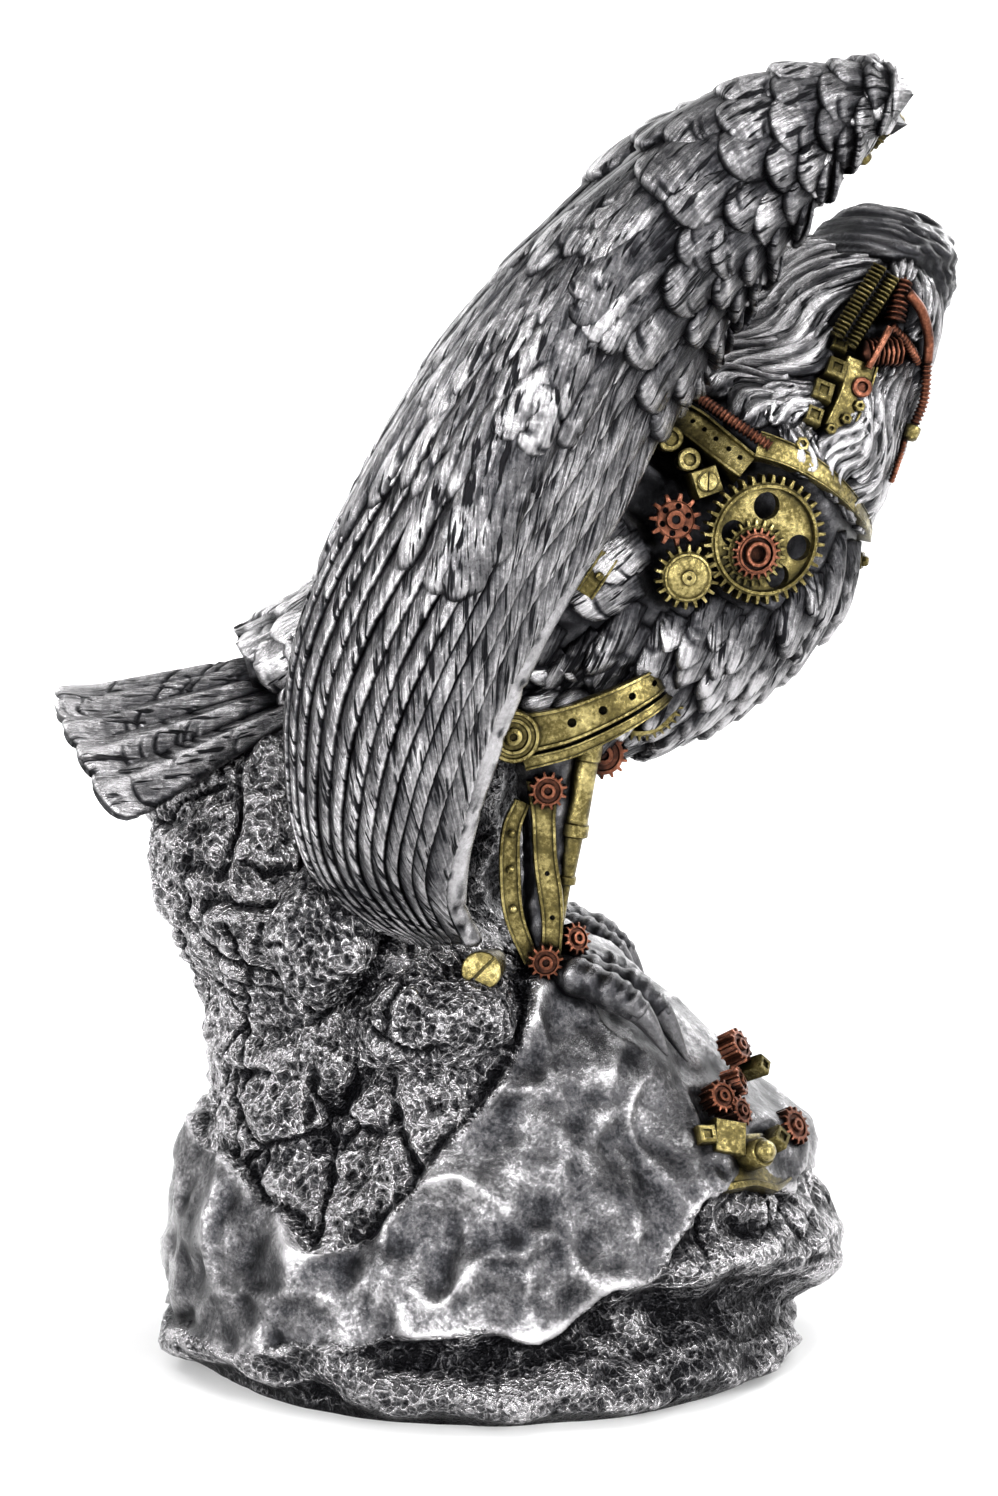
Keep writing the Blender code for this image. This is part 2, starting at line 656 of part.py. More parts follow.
def melt_cover(points):
    """1 where the smooth melt covers the stone, 0 where the stone is bare."""
    x, z = points[..., 0], points[..., 2]
    top = np.interp(x, (-80, -72, -60, -42, -27, -18, 0, 20, 80), (40, 54, 47, 37, 50, 62, 76, 120, 120))
    foot = np.interp(x, (-80, -60, -30, 0, 22, 34, 46, 60, 80), (8, 12, 20, 21, 27, 38, 47, 44, 40))
    edge = 1.6
    return smooth_step(-edge, edge, top - z) * smooth_step(-edge, edge, z - foot)


def make_crag():
    grid = crag_grid()
    outward = grid_normals(grid, True)
    outward *= np.sign((outward * (grid - grid.mean(axis=1, keepdims=True))).sum(axis=2, keepdims=True))
    outward[..., 2] *= 0.4
    level = smooth_step(0, 5, grid[..., 2])
    shaped = grid + outward * (crag_relief(grid) * (0.25 + 0.75 * level))[..., None]
    shaped[0, :, 2] = 0.0
    shaped[..., 2] = np.maximum(shaped[..., 2], 0.0)
    made = [mesh_object("crag", *closed_tube(shaped), SILVER)]
    for name, centre, radii in (
        ("near_knob", (-42.0, -42.0, 105.0), (13.0, 11.0, 17.0)),
        ("far_knob", (-42.0, 42.0, 104.0), (13.0, 11.0, 17.0)),
        ("near_shelf", (-16.0, -42.0, 92.0), (22.0, 14.0, 15.0)),
        ("far_shelf", (-16.0, 42.0, 92.0), (22.0, 14.0, 15.0)),
    ):
        made.append(ellipsoid(name, centre, radii, SILVER))
    path = along([(-22, 0, 88), (-18, 0, 110), (-14, 0, 132), (-8, 0, 160)], np.linspace(0, 1, 30))
    radii = np.interp(np.linspace(0, 1, 30), (0, 0.35, 0.7, 1), (26, 20, 20, 27))
    rings = rings_along(path, radii, 40)
    outward = rings - path[:, None]
    rings = rings + outward * 0.14 * roughness_at(rings, 9.0, 5.0)[..., None]
    made.append(mesh_object("pillar", *closed_tube(rings), SILVER))
    return made


# Legs and feet

def make_leg_flesh(side):
    """The cast thigh, shank and toes under the clockwork of one leg."""
    y = side
    made = [
        ellipsoid(f"thigh{side}", (8.0, 24.0 * y, 155.0), (22.0, 16.0, 13.0), SILVER),
        rod(f"shank{side}", [(7.5, 30.0 * y, 146), (7.5, 30.0 * y, 118), (7.0, 30.0 * y, 92)], [7.0, 4.2, 4.2], SILVER),
    ]
    toes = (
        ((7, 31, 94), (16, 38, 93), (26, 42, 88), (34, 43, 79)),
        ((8, 30, 94), (19, 32, 92.5), (31, 33, 87), (40, 33, 75)),
        ((8, 28, 94), (17, 23, 93), (28, 19, 89), (36, 17, 80)),
        ((6, 30, 94), (-3, 27, 95), (-11, 23, 96), (-16, 20, 91)),
    )
    for i, toe in enumerate(toes):
        path = along([(x, ty * y, z) for x, ty, z in toe], np.linspace(0, 1, 9))
        made.append(rod(f"toe{side}_{i}", path, [4.4, 4.0, 4.3, 3.7, 4.0, 3.3, 3.4, 2.5, 0.9], SILVER, sides=8))
    return made


def leg_clockwork(side):
    """Straps, rods, piston and pins of one leg."""
    y = side
    out = np.array((0.0, float(y), 0.0))
    made = []
    t = np.linspace(0, 1, 9)
    spine = along([(0.0, 41.0 * y, 149.0), (12.0, 42.0 * y, 151.5), (26.0, 42.5 * y, 156.5), (44.0, 41.0 * y, 163.5)], t)
    made.append(strap(f"thigh_strap{side}", spine, [out] * 9,
                      THIGH_STRAP_WIDTH + (THIGH_STRAP_END_WIDTH - THIGH_STRAP_WIDTH) * t, STRAP_THICKNESS * 4, BRASS))
    rib = spine + np.outer(1 - 0.55 * t, (0.25 * THIGH_STRAP_WIDTH * 0.25, 0, -THIGH_STRAP_WIDTH * 0.62)) + out * 0.8
    made.append(strap(f"thigh_rib{side}", rib, [out] * 9, [THIGH_RIB_WIDTH] * 9, STRAP_THICKNESS * 4, BRASS))
    made.append(turned(f"knee_disc{side}", (-0.5, 40.0 * y, 148.5), out, (
        (KNEE_DISC_RADIUS, -14.0), (KNEE_DISC_RADIUS, 3.0), (KNEE_DISC_RADIUS - 1.0, 3.0), (KNEE_DISC_RADIUS - 1.4, 2.0),
        (HUB_RADIUS, 2.0), (HUB_RADIUS, 2.8), (HUB_BORE_RADIUS * 0.6, 2.8)), BRASS, sides=16))
    t5 = np.linspace(0, 1, 6)
    shin = along([(7.0, 36.5 * y, 137.0), (8.4, 36.0 * y, 119.8), (7.4, 36.0 * y, 97.0)], t5)
    made.append(strap(f"shin_plate{side}", shin, [out] * 6, SHIN_PLATE_WIDTH * np.array((1.15, 0.95, 1.0, 1.0, 0.85, 0.7)),
                      STRAP_THICKNESS * 2, BRASS))
    made.append(rod(f"piston{side}", [(17.6, 31.5 * y, 145.0), (12.6, 31.5 * y, 119.0)], PISTON_RADIUS, BRASS, sides=10))
    made.append(rod(f"piston_rod{side}", [(12.9, 31.5 * y, 121.0), (10.4, 31.5 * y, 95.0)], PISTON_ROD_RADIUS, BRASS, sides=8))
    made.append(wheel(f"knee_wheel{side}", (7.5, 36.0 * y, 136.0), out, 4.2, 11, 2.6, COPPER, depth=7.0))
    if side > 0:
        return made
    bow = along([(3.5, 34.5 * y, 133.0), (-1.2, 34.5 * y, 126.0), (-1.6, 34.5 * y, 114.0), (3.6, 34.5 * y, 96.5)], np.linspace(0, 1, 9))
    made.append(rod(f"shin_bow{side}", bow, SHIN_ROD_RADIUS, BRASS, sides=8))
    made.append(wheel(f"ankle_wheel{side}", (7.0, 37.0 * y, 97.5), out, 4.0, 10, 2.4, COPPER, depth=7.0))
    made.append(wheel(f"toe_wheel{side}", (15.0, 31.0 * y, 100.5), (0.5, 0.8 * y, 0.3), 3.8, 10, 1.6, COPPER, depth=7.0))
    made.append(turned(f"hip_disc{side}", (21.0, 26.0 * y, 141.0), out, ((5.8, -12), (5.8, 3.0), (4.6, 3.6), (1.2, 3.6)), COPPER, sides=12))
    pin_axis = np.array((-0.35, 0.93 * y, 0.06))
    made.append(turned(f"ankle_pin{side}", (-5.5, 40.0 * y, 97.0), pin_axis, (
        (PIN_RADIUS, -16.0), (PIN_RADIUS, 6.2), (PIN_RADIUS - 0.7, 6.9), (0.8, 6.9)), BRASS, sides=12))
    return made


# Clockwork on the body

def body_clockwork(skin, side):
    """Wheels, plate, straps and hose of one flank. The eagle's left flank has the plainer set."""
    made = []
    near = side < 0
    point, _ = skin.at(54.2, 191.8, side)
    axis = np.array((0.22, side * 0.97, -0.05))
    made.append(wheel(f"great_wheel{side}", point, axis, GREAT_WHEEL_RADIUS, GREAT_WHEEL_TEETH if near else 22,
                      GREAT_WHEEL_RISE, BRASS, depth=WHEEL_ROOT_DEPTH + 6, square=near))
    face = point + axis / np.linalg.norm(axis) * GREAT_WHEEL_RISE
    made.append(turned(f"great_rim{side}", face, axis, (
        (GREAT_WHEEL_RADIUS - 1.9, -1.0), (GREAT_WHEEL_RADIUS - 1.9, 0.9), (GREAT_WHEEL_RADIUS - 2.8, 0.9),
        (GREAT_WHEEL_RADIUS - 3.6, 0.25), (GREAT_WHEEL_RADIUS - 9, 0.25)), BRASS, sides=22 if near else 12))
    hub = face + np.array((-0.8, 0, -0.9))
    if near:
        made.append(wheel("middle_wheel", hub, axis, MIDDLE_WHEEL_RADIUS, MIDDLE_WHEEL_TEETH, WHEEL_STEP, BRASS, depth=2.0))
    made.append(wheel(f"copper_wheel{side}", hub, axis, COPPER_WHEEL_RADIUS, COPPER_WHEEL_TEETH if near else 12,
                      2 * WHEEL_STEP, COPPER, depth=1.0))
    made.append(turned(f"hub{side}", hub, axis, (
        (HUB_RADIUS, 0), (HUB_RADIUS, 3 * WHEEL_STEP), (HUB_BORE_RADIUS, 3 * WHEEL_STEP), (HUB_BORE_RADIUS, 1.5 * WHEEL_STEP),
        (0.3, 1.5 * WHEEL_STEP)), COPPER, sides=12))
    t = np.linspace(0, 1, 9)
    collar_xz = along([(56.0, 213.5), (66.0, 208.5), (75.0, 200.0), (83.0, 190.5)], t)
    collar = [skin.at(x, z, side, 2.4) for x, z in collar_xz]
    made.append(strap(f"collar{side}", [c[0] for c in collar], [c[1] for c in collar],
                      COLLAR_WIDTH * (1.25 - 0.5 * t), COLLAR_THICKNESS + 4, BRASS))
    made.append(turned(f"collar_bolt{side}", skin.at(84.6, 186.5, side)[0], (0.9, side * 0.4, -0.1),
                       ((2.4, -4), (2.4, 2.4), (1.2, 3.4)), BRASS, sides=10))
    if not near:
        return made
    belly, _ = skin.at(33.0, 157.0, side)
    made.append(wheel("belly_wheel", belly, (0.1, side * 0.93, -0.35), BELLY_WHEEL_RADIUS, BELLY_WHEEL_TEETH, 1.8, BRASS))
    made.append(wheel("star_wheel", skin.at(34.4, 196.3, side)[0], (0.06, -1, 0.05), STAR_WHEEL_RADIUS, STAR_WHEEL_TEETH,
                      4.2, COPPER))
    dish, _ = skin.at(37.0, 184.3, side)
    dish_axis = (0.08, -1, -0.05)
    made.append(wheel("dish_wheel", dish, dish_axis, DISH_WHEEL_RADIUS, DISH_WHEEL_TEETH, 4.4, BRASS))
    made.append(turned("dish_boss", dish + np.array((0.1, -4.4, 0)), dish_axis, (
        (DISH_WHEEL_RADIUS - 1.9, -1), (DISH_WHEEL_RADIUS - 1.9, 0.9), (DISH_WHEEL_RADIUS - 3.4, 1.5), (2.2, 1.5), (1.8, 2.4),
        (0.5, 2.4)), BRASS, sides=12))
    plate, _ = skin.at(41.5, 204.8, side)
    made.append(turned("screw_plate", plate, (0.1, -1, 0.12), ((4.8, -5), (4.8, 4.4)), BRASS, sides=4))
    made.append(turned("screw_head", plate + np.array((0.3, -4.2, 0.5)), (0.1, -1, 0.12), ((2.5, -1), (2.5, 1.4)), BRASS, sides=10))
    saddle_xz = along([(37.5, 218.5), (46.0, 215.0), (53.0, 209.5), (58.0, 203.5)], t)
    saddle = [skin.at(x, z, side, 3.0) for x, z in saddle_xz]
    made.append(strap("saddle_strap", [s[0] for s in saddle], [s[1] for s in saddle], 6.4 - 1.6 * t, 7.0, BRASS))
    hose_xz = along([(36.5, 225.0), (44.0, 221.5), (52.0, 216.5), (60.0, 211.5)], np.linspace(0, 1, 10))
    made.append(rod("hose", [skin.at(x, z, side, 2.4)[0] for x, z in hose_xz], HOSE_RADIUS, COPPER, sides=8))
    link, _ = skin.at(34.0, 210.0, side)
    made.append(turned("link_plate", link, (0.05, -1, 0.1), ((4.6, -5), (4.6, 3.4), (2.4, 3.4), (2.4, 2.2), (0.4, 2.2)), BRASS, sides=9))
    bracket_x, bracket_z = 18.0, 184.5
    bracket, _ = skin.at(bracket_x, bracket_z, side)
    made.append(strap("wing_bracket", [bracket + np.array(d) for d in ((-6, -6, -6), (0, -6, 0), (4, -5.5, 6))],
                      [(0, -1, 0)] * 3, [4.5] * 3, 9.0, BRASS))
    return made


def neck_clockwork(skin):
    """The open works in the right side of the neck: finned stack, coils, blocks and hose."""
    made = []
    out = np.array((0.10, -0.97, 0.22))
    t7 = np.linspace(0, 1, 7)
    stack = [skin.at(x, z, -1, 0.5)[0] for x, z in along([(75.8, 236.0), (83.0, 250.0)], t7)]
    made.append(strap("fin_stack", [p + out * 2.6 for p in stack], [out] * 7, [4.2] * 7, 8.0, BRASS))
    blocks = along([(75.5, 233.5), (72.5, 226.0), (69.0, 218.0)], np.linspace(0, 1, 4))
    for i, (x, z) in enumerate(blocks):
        place, normal = skin.at(x, z, -1)
        made.append(turned(f"neck_block{i}", place, normal, ((4.6, -4), (4.6, 2.8)), BRASS, sides=4))
    coil_at, _ = skin.at(81.5, 233.5, -1)
    made.append(turned("coil_block", coil_at, out, ((5.2, -5), (5.2, 3.0), (4.4, 3.4)), COPPER, sides=8))
    coil_top, _ = skin.at(88.0, 243.5, -1)
    made.append(turned("coil_top", coil_top, out, ((4.4, -6), (4.4, 2.4)), COPPER, sides=8))
    pipe = along([(92.0, -14.5, 246.0), (94.0, -15.0, 233.0), (90.5, -17.5, 215.0)], np.linspace(0, 1, 8))
    made.append(rod("neck_pipe", pipe, HOSE_RADIUS, COPPER, sides=6))
    return made


def wrist_clockwork(side):
    """A wheel and plate let into the front of one wing's arm, by the wrist."""
    y = side
    return [
        wheel(f"wrist_wheel{side}", (79.5, 52.0 * y, 279.0), (0.75, -0.2 * y, -0.6), 4.6, 12, 1.6, BRASS, depth=5.0),
    ]


def crag_clockwork():
    """Scrap of plates, nut and wheels caught in the melt below the eagle's right foot."""
    made = []
    slope = np.array((0.66, -0.42, 0.62))
    slope /= np.linalg.norm(slope)
    sheet = along([(44.0, -46.0, 51.0), (53.0, -43.0, 52.5), (62.0, -35.0, 50.0), (70.0, -22.0, 45.0)], np.linspace(0, 1, 5))
    made.append(strap("scrap_sheet", sheet, [slope] * 5, [13, 16, 15, 12, 9], 12.0, BRASS))
    made.append(turned("nut_block", (51.0, -42.0, 56.0), (0.3, -0.8, 0.5), ((4.6, -9), (4.6, 3.0)), BRASS, sides=4))
    made.append(turned("cap_nut", (55.5, -44.0, 52.5), (0.5, -0.7, 0.4), ((3.2, -8), (3.2, 2.2), (2.4, 3.8), (0.9, 4.6)), BRASS, sides=12))
    for i, (centre, axis, radius, teeth) in enumerate((
        ((48.5, -35.0, 66.0), (0.45, -0.55, 0.7), 5.0, 10),
        ((54.5, -22.0, 70.0), (0.8, -0.3, 0.5), 4.6, 10),
        ((66.5, -22.0, 55.5), (0.75, -0.35, 0.55), 5.2, 11),
        ((55.0, -33.0, 60.0), (0.6, -0.5, 0.6), 4.2, 9),
    )):
        made.append(wheel(f"scrap_wheel{i}", centre, axis, radius, teeth, 2.4, COPPER, depth=8.0))
    return made


# Assembly

def keep_largest_body(mesh):
    """Takes out the fins, closed pockets and crumbs that fusing and thinning leave."""
    shell = bmesh.new()
    shell.from_mesh(mesh)
    fins = [face for face in shell.faces if any(edge.is_boundary for edge in face.edges)]
    bmesh.ops.delete(shell, geom=fins, context="FACES")
    unseen = set(shell.faces)
    bodies = []
    while unseen:
        start = unseen.pop()
        body, edge = [start], [start]
        while edge:
            face = edge.pop()
            for near in {other for e in face.edges for other in e.link_faces} & unseen:
                unseen.discard(near)
                body.append(near)
                edge.append(near)
        bodies.append(body)
    bodies.sort(key=len)
    crumbs = [face for body in bodies[:-1] for face in body]
    bmesh.ops.delete(shell, geom=crumbs, context="FACES")
    shell.to_mesh(mesh)
    shell.free()


def settle(thing):
    """Applies the modifiers of an object and keeps its largest body. Returns its count of triangles."""
    bpy.context.view_layer.update()
    graph = bpy.context.evaluated_depsgraph_get()
    mesh = bpy.data.meshes.new_from_object(thing.evaluated_get(graph))
    keep_largest_body(mesh)
    thing.modifiers.clear()
    thing.data = mesh
    mesh.calc_loop_triangles()
    return len(mesh.loop_triangles)


def thinned(thing, faces_now, faces_wanted):
    thin = thing.modifiers.new("thin", "DECIMATE")
    thin.ratio = min(1.0, faces_wanted / faces_now)
    thin.use_collapse_triangulate = True
    settle(thing)


def fused(parts):
    """Joins the cast forms into one mesh, fuses it by voxels and thins its faces."""
    vertices, faces = [], []
    for part in parts:
        first = len(vertices)
        vertices += [tuple(v.co) for v in part.data.vertices]
        faces += [tuple(first + i for i in face.vertices) for face in part.data.polygons]
    cast = mesh_object("eagle_figurine", vertices, faces, SILVER, scale=1.0)
    fuse = cast.modifiers.new("fuse", "REMESH")
    fuse.mode = "VOXEL"
    fuse.voxel_size = FUSE_VOXEL
    thinned(cast, settle(cast), CAST_FACES)
    for vertex in cast.data.vertices:
        if vertex.co.z < UNDERSIDE_BAND:
            vertex.co.z = 0.0
    return cast


def join_details(cast, parts):
    """Unites the wings' feathers, the plumage and the clockwork with the cast body, as one body."""
    group = bpy.data.collections.new("details")
    for part in parts:
        group.objects.link(part)
    union = cast.modifiers.new("unite", "BOOLEAN")
    union.operation = "UNION"
    union.operand_type = "COLLECTION"
    union.collection = group
    union.solver = "MANIFOLD"
    thinned(cast, settle(cast), WHOLE_FACES)


def main():
    clear_scene()
    skin = Skin()
    surface = BodySurface()
    forms = [make_body(), make_tail_web(), *make_head(), *make_crag()]
    details = [*make_neck_locks(surface), *make_breast_feathers(surface), *make_tail_feathers()]
    details += [*neck_clockwork(skin), *crag_clockwork()]
    for side in (-1, 1):
        forms += [make_wing_web(side), make_arm(f"arm{side}", side), *make_leg_flesh(side)]
        details += [make_flight_feathers(side), *make_coverts(side)]
        details += [*body_clockwork(skin, side), *leg_clockwork(side), *wrist_clockwork(side)]
    cast = fused(forms)
    join_details(cast, details)
    for part in forms + details:
        bpy.data.objects.remove(part)


main()
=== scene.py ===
"""The looks of a cast figurine: a mechanical eagle in antique silver with brass and copper clockwork.

The eagle faces +X on its crag, up is +Z, and the origin is the centre of the crag's underside.
Shapes are drawn in millimetres and made in metres.
"""

import json
import math
from dataclasses import dataclass, replace

import bpy
import numpy as np
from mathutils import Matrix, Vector, noise

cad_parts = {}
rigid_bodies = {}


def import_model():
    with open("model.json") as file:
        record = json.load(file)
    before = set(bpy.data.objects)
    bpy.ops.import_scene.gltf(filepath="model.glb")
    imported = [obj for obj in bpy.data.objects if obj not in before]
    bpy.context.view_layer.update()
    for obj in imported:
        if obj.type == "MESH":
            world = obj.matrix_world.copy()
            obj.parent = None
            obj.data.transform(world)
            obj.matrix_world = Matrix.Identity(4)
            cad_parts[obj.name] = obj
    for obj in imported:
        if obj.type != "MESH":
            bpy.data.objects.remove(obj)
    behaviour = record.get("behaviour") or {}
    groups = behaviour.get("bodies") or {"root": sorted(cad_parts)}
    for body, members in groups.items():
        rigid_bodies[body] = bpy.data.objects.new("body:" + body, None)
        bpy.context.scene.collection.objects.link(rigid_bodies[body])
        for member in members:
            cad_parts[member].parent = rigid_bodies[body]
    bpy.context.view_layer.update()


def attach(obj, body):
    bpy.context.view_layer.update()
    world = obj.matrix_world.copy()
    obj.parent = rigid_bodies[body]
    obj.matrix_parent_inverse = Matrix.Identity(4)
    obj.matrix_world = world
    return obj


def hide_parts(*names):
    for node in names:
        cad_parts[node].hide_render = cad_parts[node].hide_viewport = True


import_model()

NODE = "eagle_figurine"
MM = 0.001
SHARP_EDGE = math.radians(38)
UPRIGHT = (0.0, 0.0, 1.0)
SIDES = ((-1, "right"), (1, "left"))


def word_of(side):
    return dict(SIDES)[side]


# Smooth curves and noise


def hermite(s, a, slope_a, b, slope_b):
    """Points at shares s of a smooth curve from a to b that has the given slopes at its ends."""
    return (
        (2 * s**3 - 3 * s**2 + 1) * a
        + (s**3 - 2 * s**2 + s) * slope_a
        + (3 * s**2 - 2 * s**3) * b
        + (s**3 - s**2) * slope_b
    )


def along(points, t):
    """Points at shares t of the length of a smooth curve through the given points."""
    knots = np.asarray(points, float)
    steps = np.linalg.norm(np.diff(knots, axis=0), axis=1)
    length = np.concatenate([[0.0], np.cumsum(steps)])
    where = np.clip(np.asarray(t, float), 0.0, 1.0) * length[-1]
    k = np.clip(np.searchsorted(length, where, side="right") - 1, 0, len(knots) - 2)
    span = (length[k + 1] - length[k])[..., None]
    s = ((where - length[k])[..., None]) / span
    slope = np.empty_like(knots)
    slope[1:-1] = (knots[2:] - knots[:-2]) / (length[2:] - length[:-2])[:, None]
    slope[0] = (knots[1] - knots[0]) / steps[0]
    slope[-1] = (knots[-1] - knots[-2]) / steps[-1]
    return hermite(s, knots[k], slope[k] * span, knots[k + 1], slope[k + 1] * span)


def smooth_step(low, high, value):
    s = np.clip((value - low) / (high - low), 0.0, 1.0)
    return s * s * (3 - 2 * s)


def hump(value, width):
    """1 at zero, falling smoothly to nothing a few widths away."""
    return np.exp(-((value / width) ** 2))


def shuffled(number, seed=0.0):
    """A repeatable value in 0..1 for each whole number."""
    wave = np.sin(np.asarray(number, float) * 12.9898 + seed * 78.233) * 43758.5453
    return wave - np.floor(wave)


def roughness_at(points, size, seed=0.0):
    """Smooth noise in -1..1 at each point, with features of the given size."""
    flat = (np.asarray(points) / size + (seed, seed * 0.7, -seed)).reshape(-1, 3)
    values = [noise.noise(p) for p in flat.tolist()]
    return np.array(values).reshape(np.shape(points)[:-1])


def cells_at(points, size, seed=0.0):
    """Distance to the nearest cell centre, and how much further the next one is, in cell sizes."""
    flat = (np.asarray(points) / size + (seed, seed * 0.7, -seed)).reshape(-1, 3)
    found = np.array([noise.voronoi(p)[0][:2] for p in flat.tolist()])
    shape = np.shape(points)[:-1]
    return found[:, 0].reshape(shape), (found[:, 1] - found[:, 0]).reshape(shape)


def grid_normals(points, closed_rows):
    """Unit normals of a grid of points [row, column]."""
    if closed_rows:
        across = np.roll(points, -1, axis=1) - np.roll(points, 1, axis=1)
    else:
        across = np.gradient(points, axis=1)
    normal = np.cross(across, np.gradient(points, axis=0))
    return normal / np.maximum(np.linalg.norm(normal, axis=2, keepdims=True), 1e-9)


def blurred(values, steps, wrap=False):
    """Values on a grid, averaged with their neighbours a number of times."""
    for _ in range(steps):
        if wrap:
            values = (np.roll(values, 1, axis=1) + 2 * values + np.roll(values, -1, axis=1)) / 4
        else:
            wide = np.pad(values, ((0, 0), (1, 1)), mode="edge")
            values = (wide[:, :-2] + 2 * wide[:, 1:-1] + wide[:, 2:]) / 4
        tall = np.pad(values, ((1, 1), (0, 0)), mode="edge")
        values = (tall[:-2] + 2 * tall[1:-1] + tall[2:]) / 4
    return values


def washed(height, gain, steps=3, wrap=False):
    """How much the dark wash was wiped off: high spots are near 1 and hollows near 0."""
    return np.clip(0.5 + gain * (height - blurred(height, steps, wrap)), 0.0, 1.0)


# Meshes


def mesh_piece(name, points, faces, kind, wash=None, sharp=False, grain=None):
    """A piece of the object. faces is a list of arrays, each with faces of one number of corners."""
    mesh = bpy.data.meshes.new(name)
    mesh.vertices.add(len(points))
    mesh.vertices.foreach_set("co", (np.asarray(points) * MM).ravel())
    corners = np.concatenate([np.asarray(f).ravel() for f in faces])
    sizes = np.concatenate([np.full(len(f), np.shape(f)[1]) for f in faces])
    mesh.loops.add(len(corners))
    mesh.loops.foreach_set("vertex_index", corners.astype(np.int32))
    mesh.polygons.add(len(sizes))
    mesh.polygons.foreach_set("loop_start", (np.cumsum(sizes) - sizes).astype(np.int32))
    mesh.polygons.foreach_set("use_smooth", np.ones(len(sizes), bool))
    mesh.update(calc_edges=True)
    # Per point: how much dark wash was wiped off, with painted shade laid into it in places
    if wash is not None:
        layer = mesh.attributes.new("wash", "FLOAT", "POINT")
        layer.data.foreach_set("value", np.asarray(wash, np.float32))
    if grain is not None and np.any(grain):
        layer = mesh.attributes.new("grain", "FLOAT_VECTOR", "POINT")
        layer.data.foreach_set("vector", np.asarray(grain, np.float32).ravel())
    if sharp:
        mesh.set_sharp_from_angle(angle=SHARP_EDGE)
    mesh.materials.append(kind)
    made = bpy.data.objects.new(name, mesh)
    bpy.context.scene.collection.objects.link(made)
    return made


class Heap:
    """Grids of points that are gathered into one piece."""

    def __init__(self):
        self.points, self.faces, self.wash, self.grain, self.count = [], [], [], [], 0

    def grid(self, points, wash=0.5, wrap=False, flip=False, grain=0.0):
        rows, columns = points.shape[:2]
        index = np.arange(rows * columns).reshape(rows, columns) + self.count
        self.points.append(points.reshape(-1, 3))
        self.wash.append(np.broadcast_to(wash, (rows, columns)).reshape(-1))
        self.grain.append(np.broadcast_to(grain, (rows, columns, 3)).reshape(-1, 3))
        self.count += rows * columns
        ring = np.hstack([index, index[:, :1]]) if wrap else index
        quads = np.stack([ring[:-1, :-1], ring[:-1, 1:], ring[1:, 1:], ring[1:, :-1]], axis=-1)
        quads = quads.reshape(-1, 4)
        self.faces.append(quads[:, ::-1] if flip else quads)
        return index

    def tube(self, points, wash=0.5, flip=False, grain=0.0):
        """Rings of points, closed round and capped at both ends."""
        index = self.grid(points, wash, wrap=True, flip=flip, grain=grain)
        first, last = index[:1, ::-1], index[-1:]
        self.faces += [first[:, ::-1], last[:, ::-1]] if flip else [first, last]

    def piece(self, name, kind, sharp=False):
        points, wash, grain = (np.concatenate(part) for part in (self.points, self.wash, self.grain))
        return mesh_piece(name, points, self.faces, kind, wash, sharp, grain)


class Sheet:
    """A smooth surface, asked for by its share across (columns) and its share along (rows)."""

    def __init__(self, points, facing=None, centre=None, wrap=False):
        self.wrap = wrap
        normals = grid_normals(points, wrap)
        outward = np.asarray(facing) if centre is None else points - centre
        sign = np.sign((normals * outward).sum(axis=2).mean())
        self.flip = sign < 0
        self.points = np.hstack([points, points[:, :1]]) if wrap else points
        normals = normals * sign
        self.normals = np.hstack([normals, normals[:, :1]]) if wrap else normals

    def at(self, across, down):
        rows, columns = self.points.shape[:2]
        across = across % 1.0 if self.wrap else np.clip(across, 0, 1)
        x = across * (columns - 1)
        y = np.clip(down, 0, 1) * (rows - 1)
        j = np.clip(x.astype(int), 0, columns - 2)
        i = np.clip(y.astype(int), 0, rows - 2)
        x, y = (x - j)[..., None], (y - i)[..., None]
        found = []
        for field in (self.points, self.normals):
            top = field[i, j] * (1 - x) + field[i, j + 1] * x
            low = field[i + 1, j] * (1 - x) + field[i + 1, j + 1] * x
            found.append(top * (1 - y) + low * y)
        return found

    def lay(self, heap, across, down, height, wash, sink, grain):
        """Adds a patch that stands height above the sheet, with a skirt down to sink below it. The skirt is
        painted fully dark: partly the wash in the step under the patch's edge, partly painted shadow under
        the overhang.
        """
        pad = ((1, 1), (1, 1))
        grain = np.pad(grain, (*pad, (0, 0)), mode="edge")
        across, down = np.pad(across, pad, mode="edge"), np.pad(down, pad, mode="edge")
        height = np.pad(height, pad, constant_values=-sink)
        # Painted shadow with the wash: the skirt is fully dark
        wash = np.pad(wash, pad, constant_values=0.0)
        points, normals = self.at(across, down)
        heap.grid(points + normals * height[..., None], wash, flip=self.flip, grain=grain)


# Feathers

BARB_SLANT = 1.7
BARB_ANGLE = math.radians(15.0)


def grain_of(across, along_it, seed):
    """Where each point lies in the fine grain: mm across its strands, mm along them, and which piece."""
    return np.stack(np.broadcast_arrays(across, along_it, 7.3 * seed), axis=-1)


def vane_grain(a, b, seed):
    """The grain of barbs that cross a feather at a slant."""
    c, s = math.cos(BARB_ANGLE), math.sin(BARB_ANGLE)
    return grain_of(a * s - b * c, a * c + b * s, seed)


def spread_share(columns):
    """Shares across a vane in -1..1, closer together towards its edges."""
    x = np.linspace(-1, 1, columns)
    return np.clip(0.45 * x + 0.55 * np.sin(x * math.pi / 2), -1, 1)


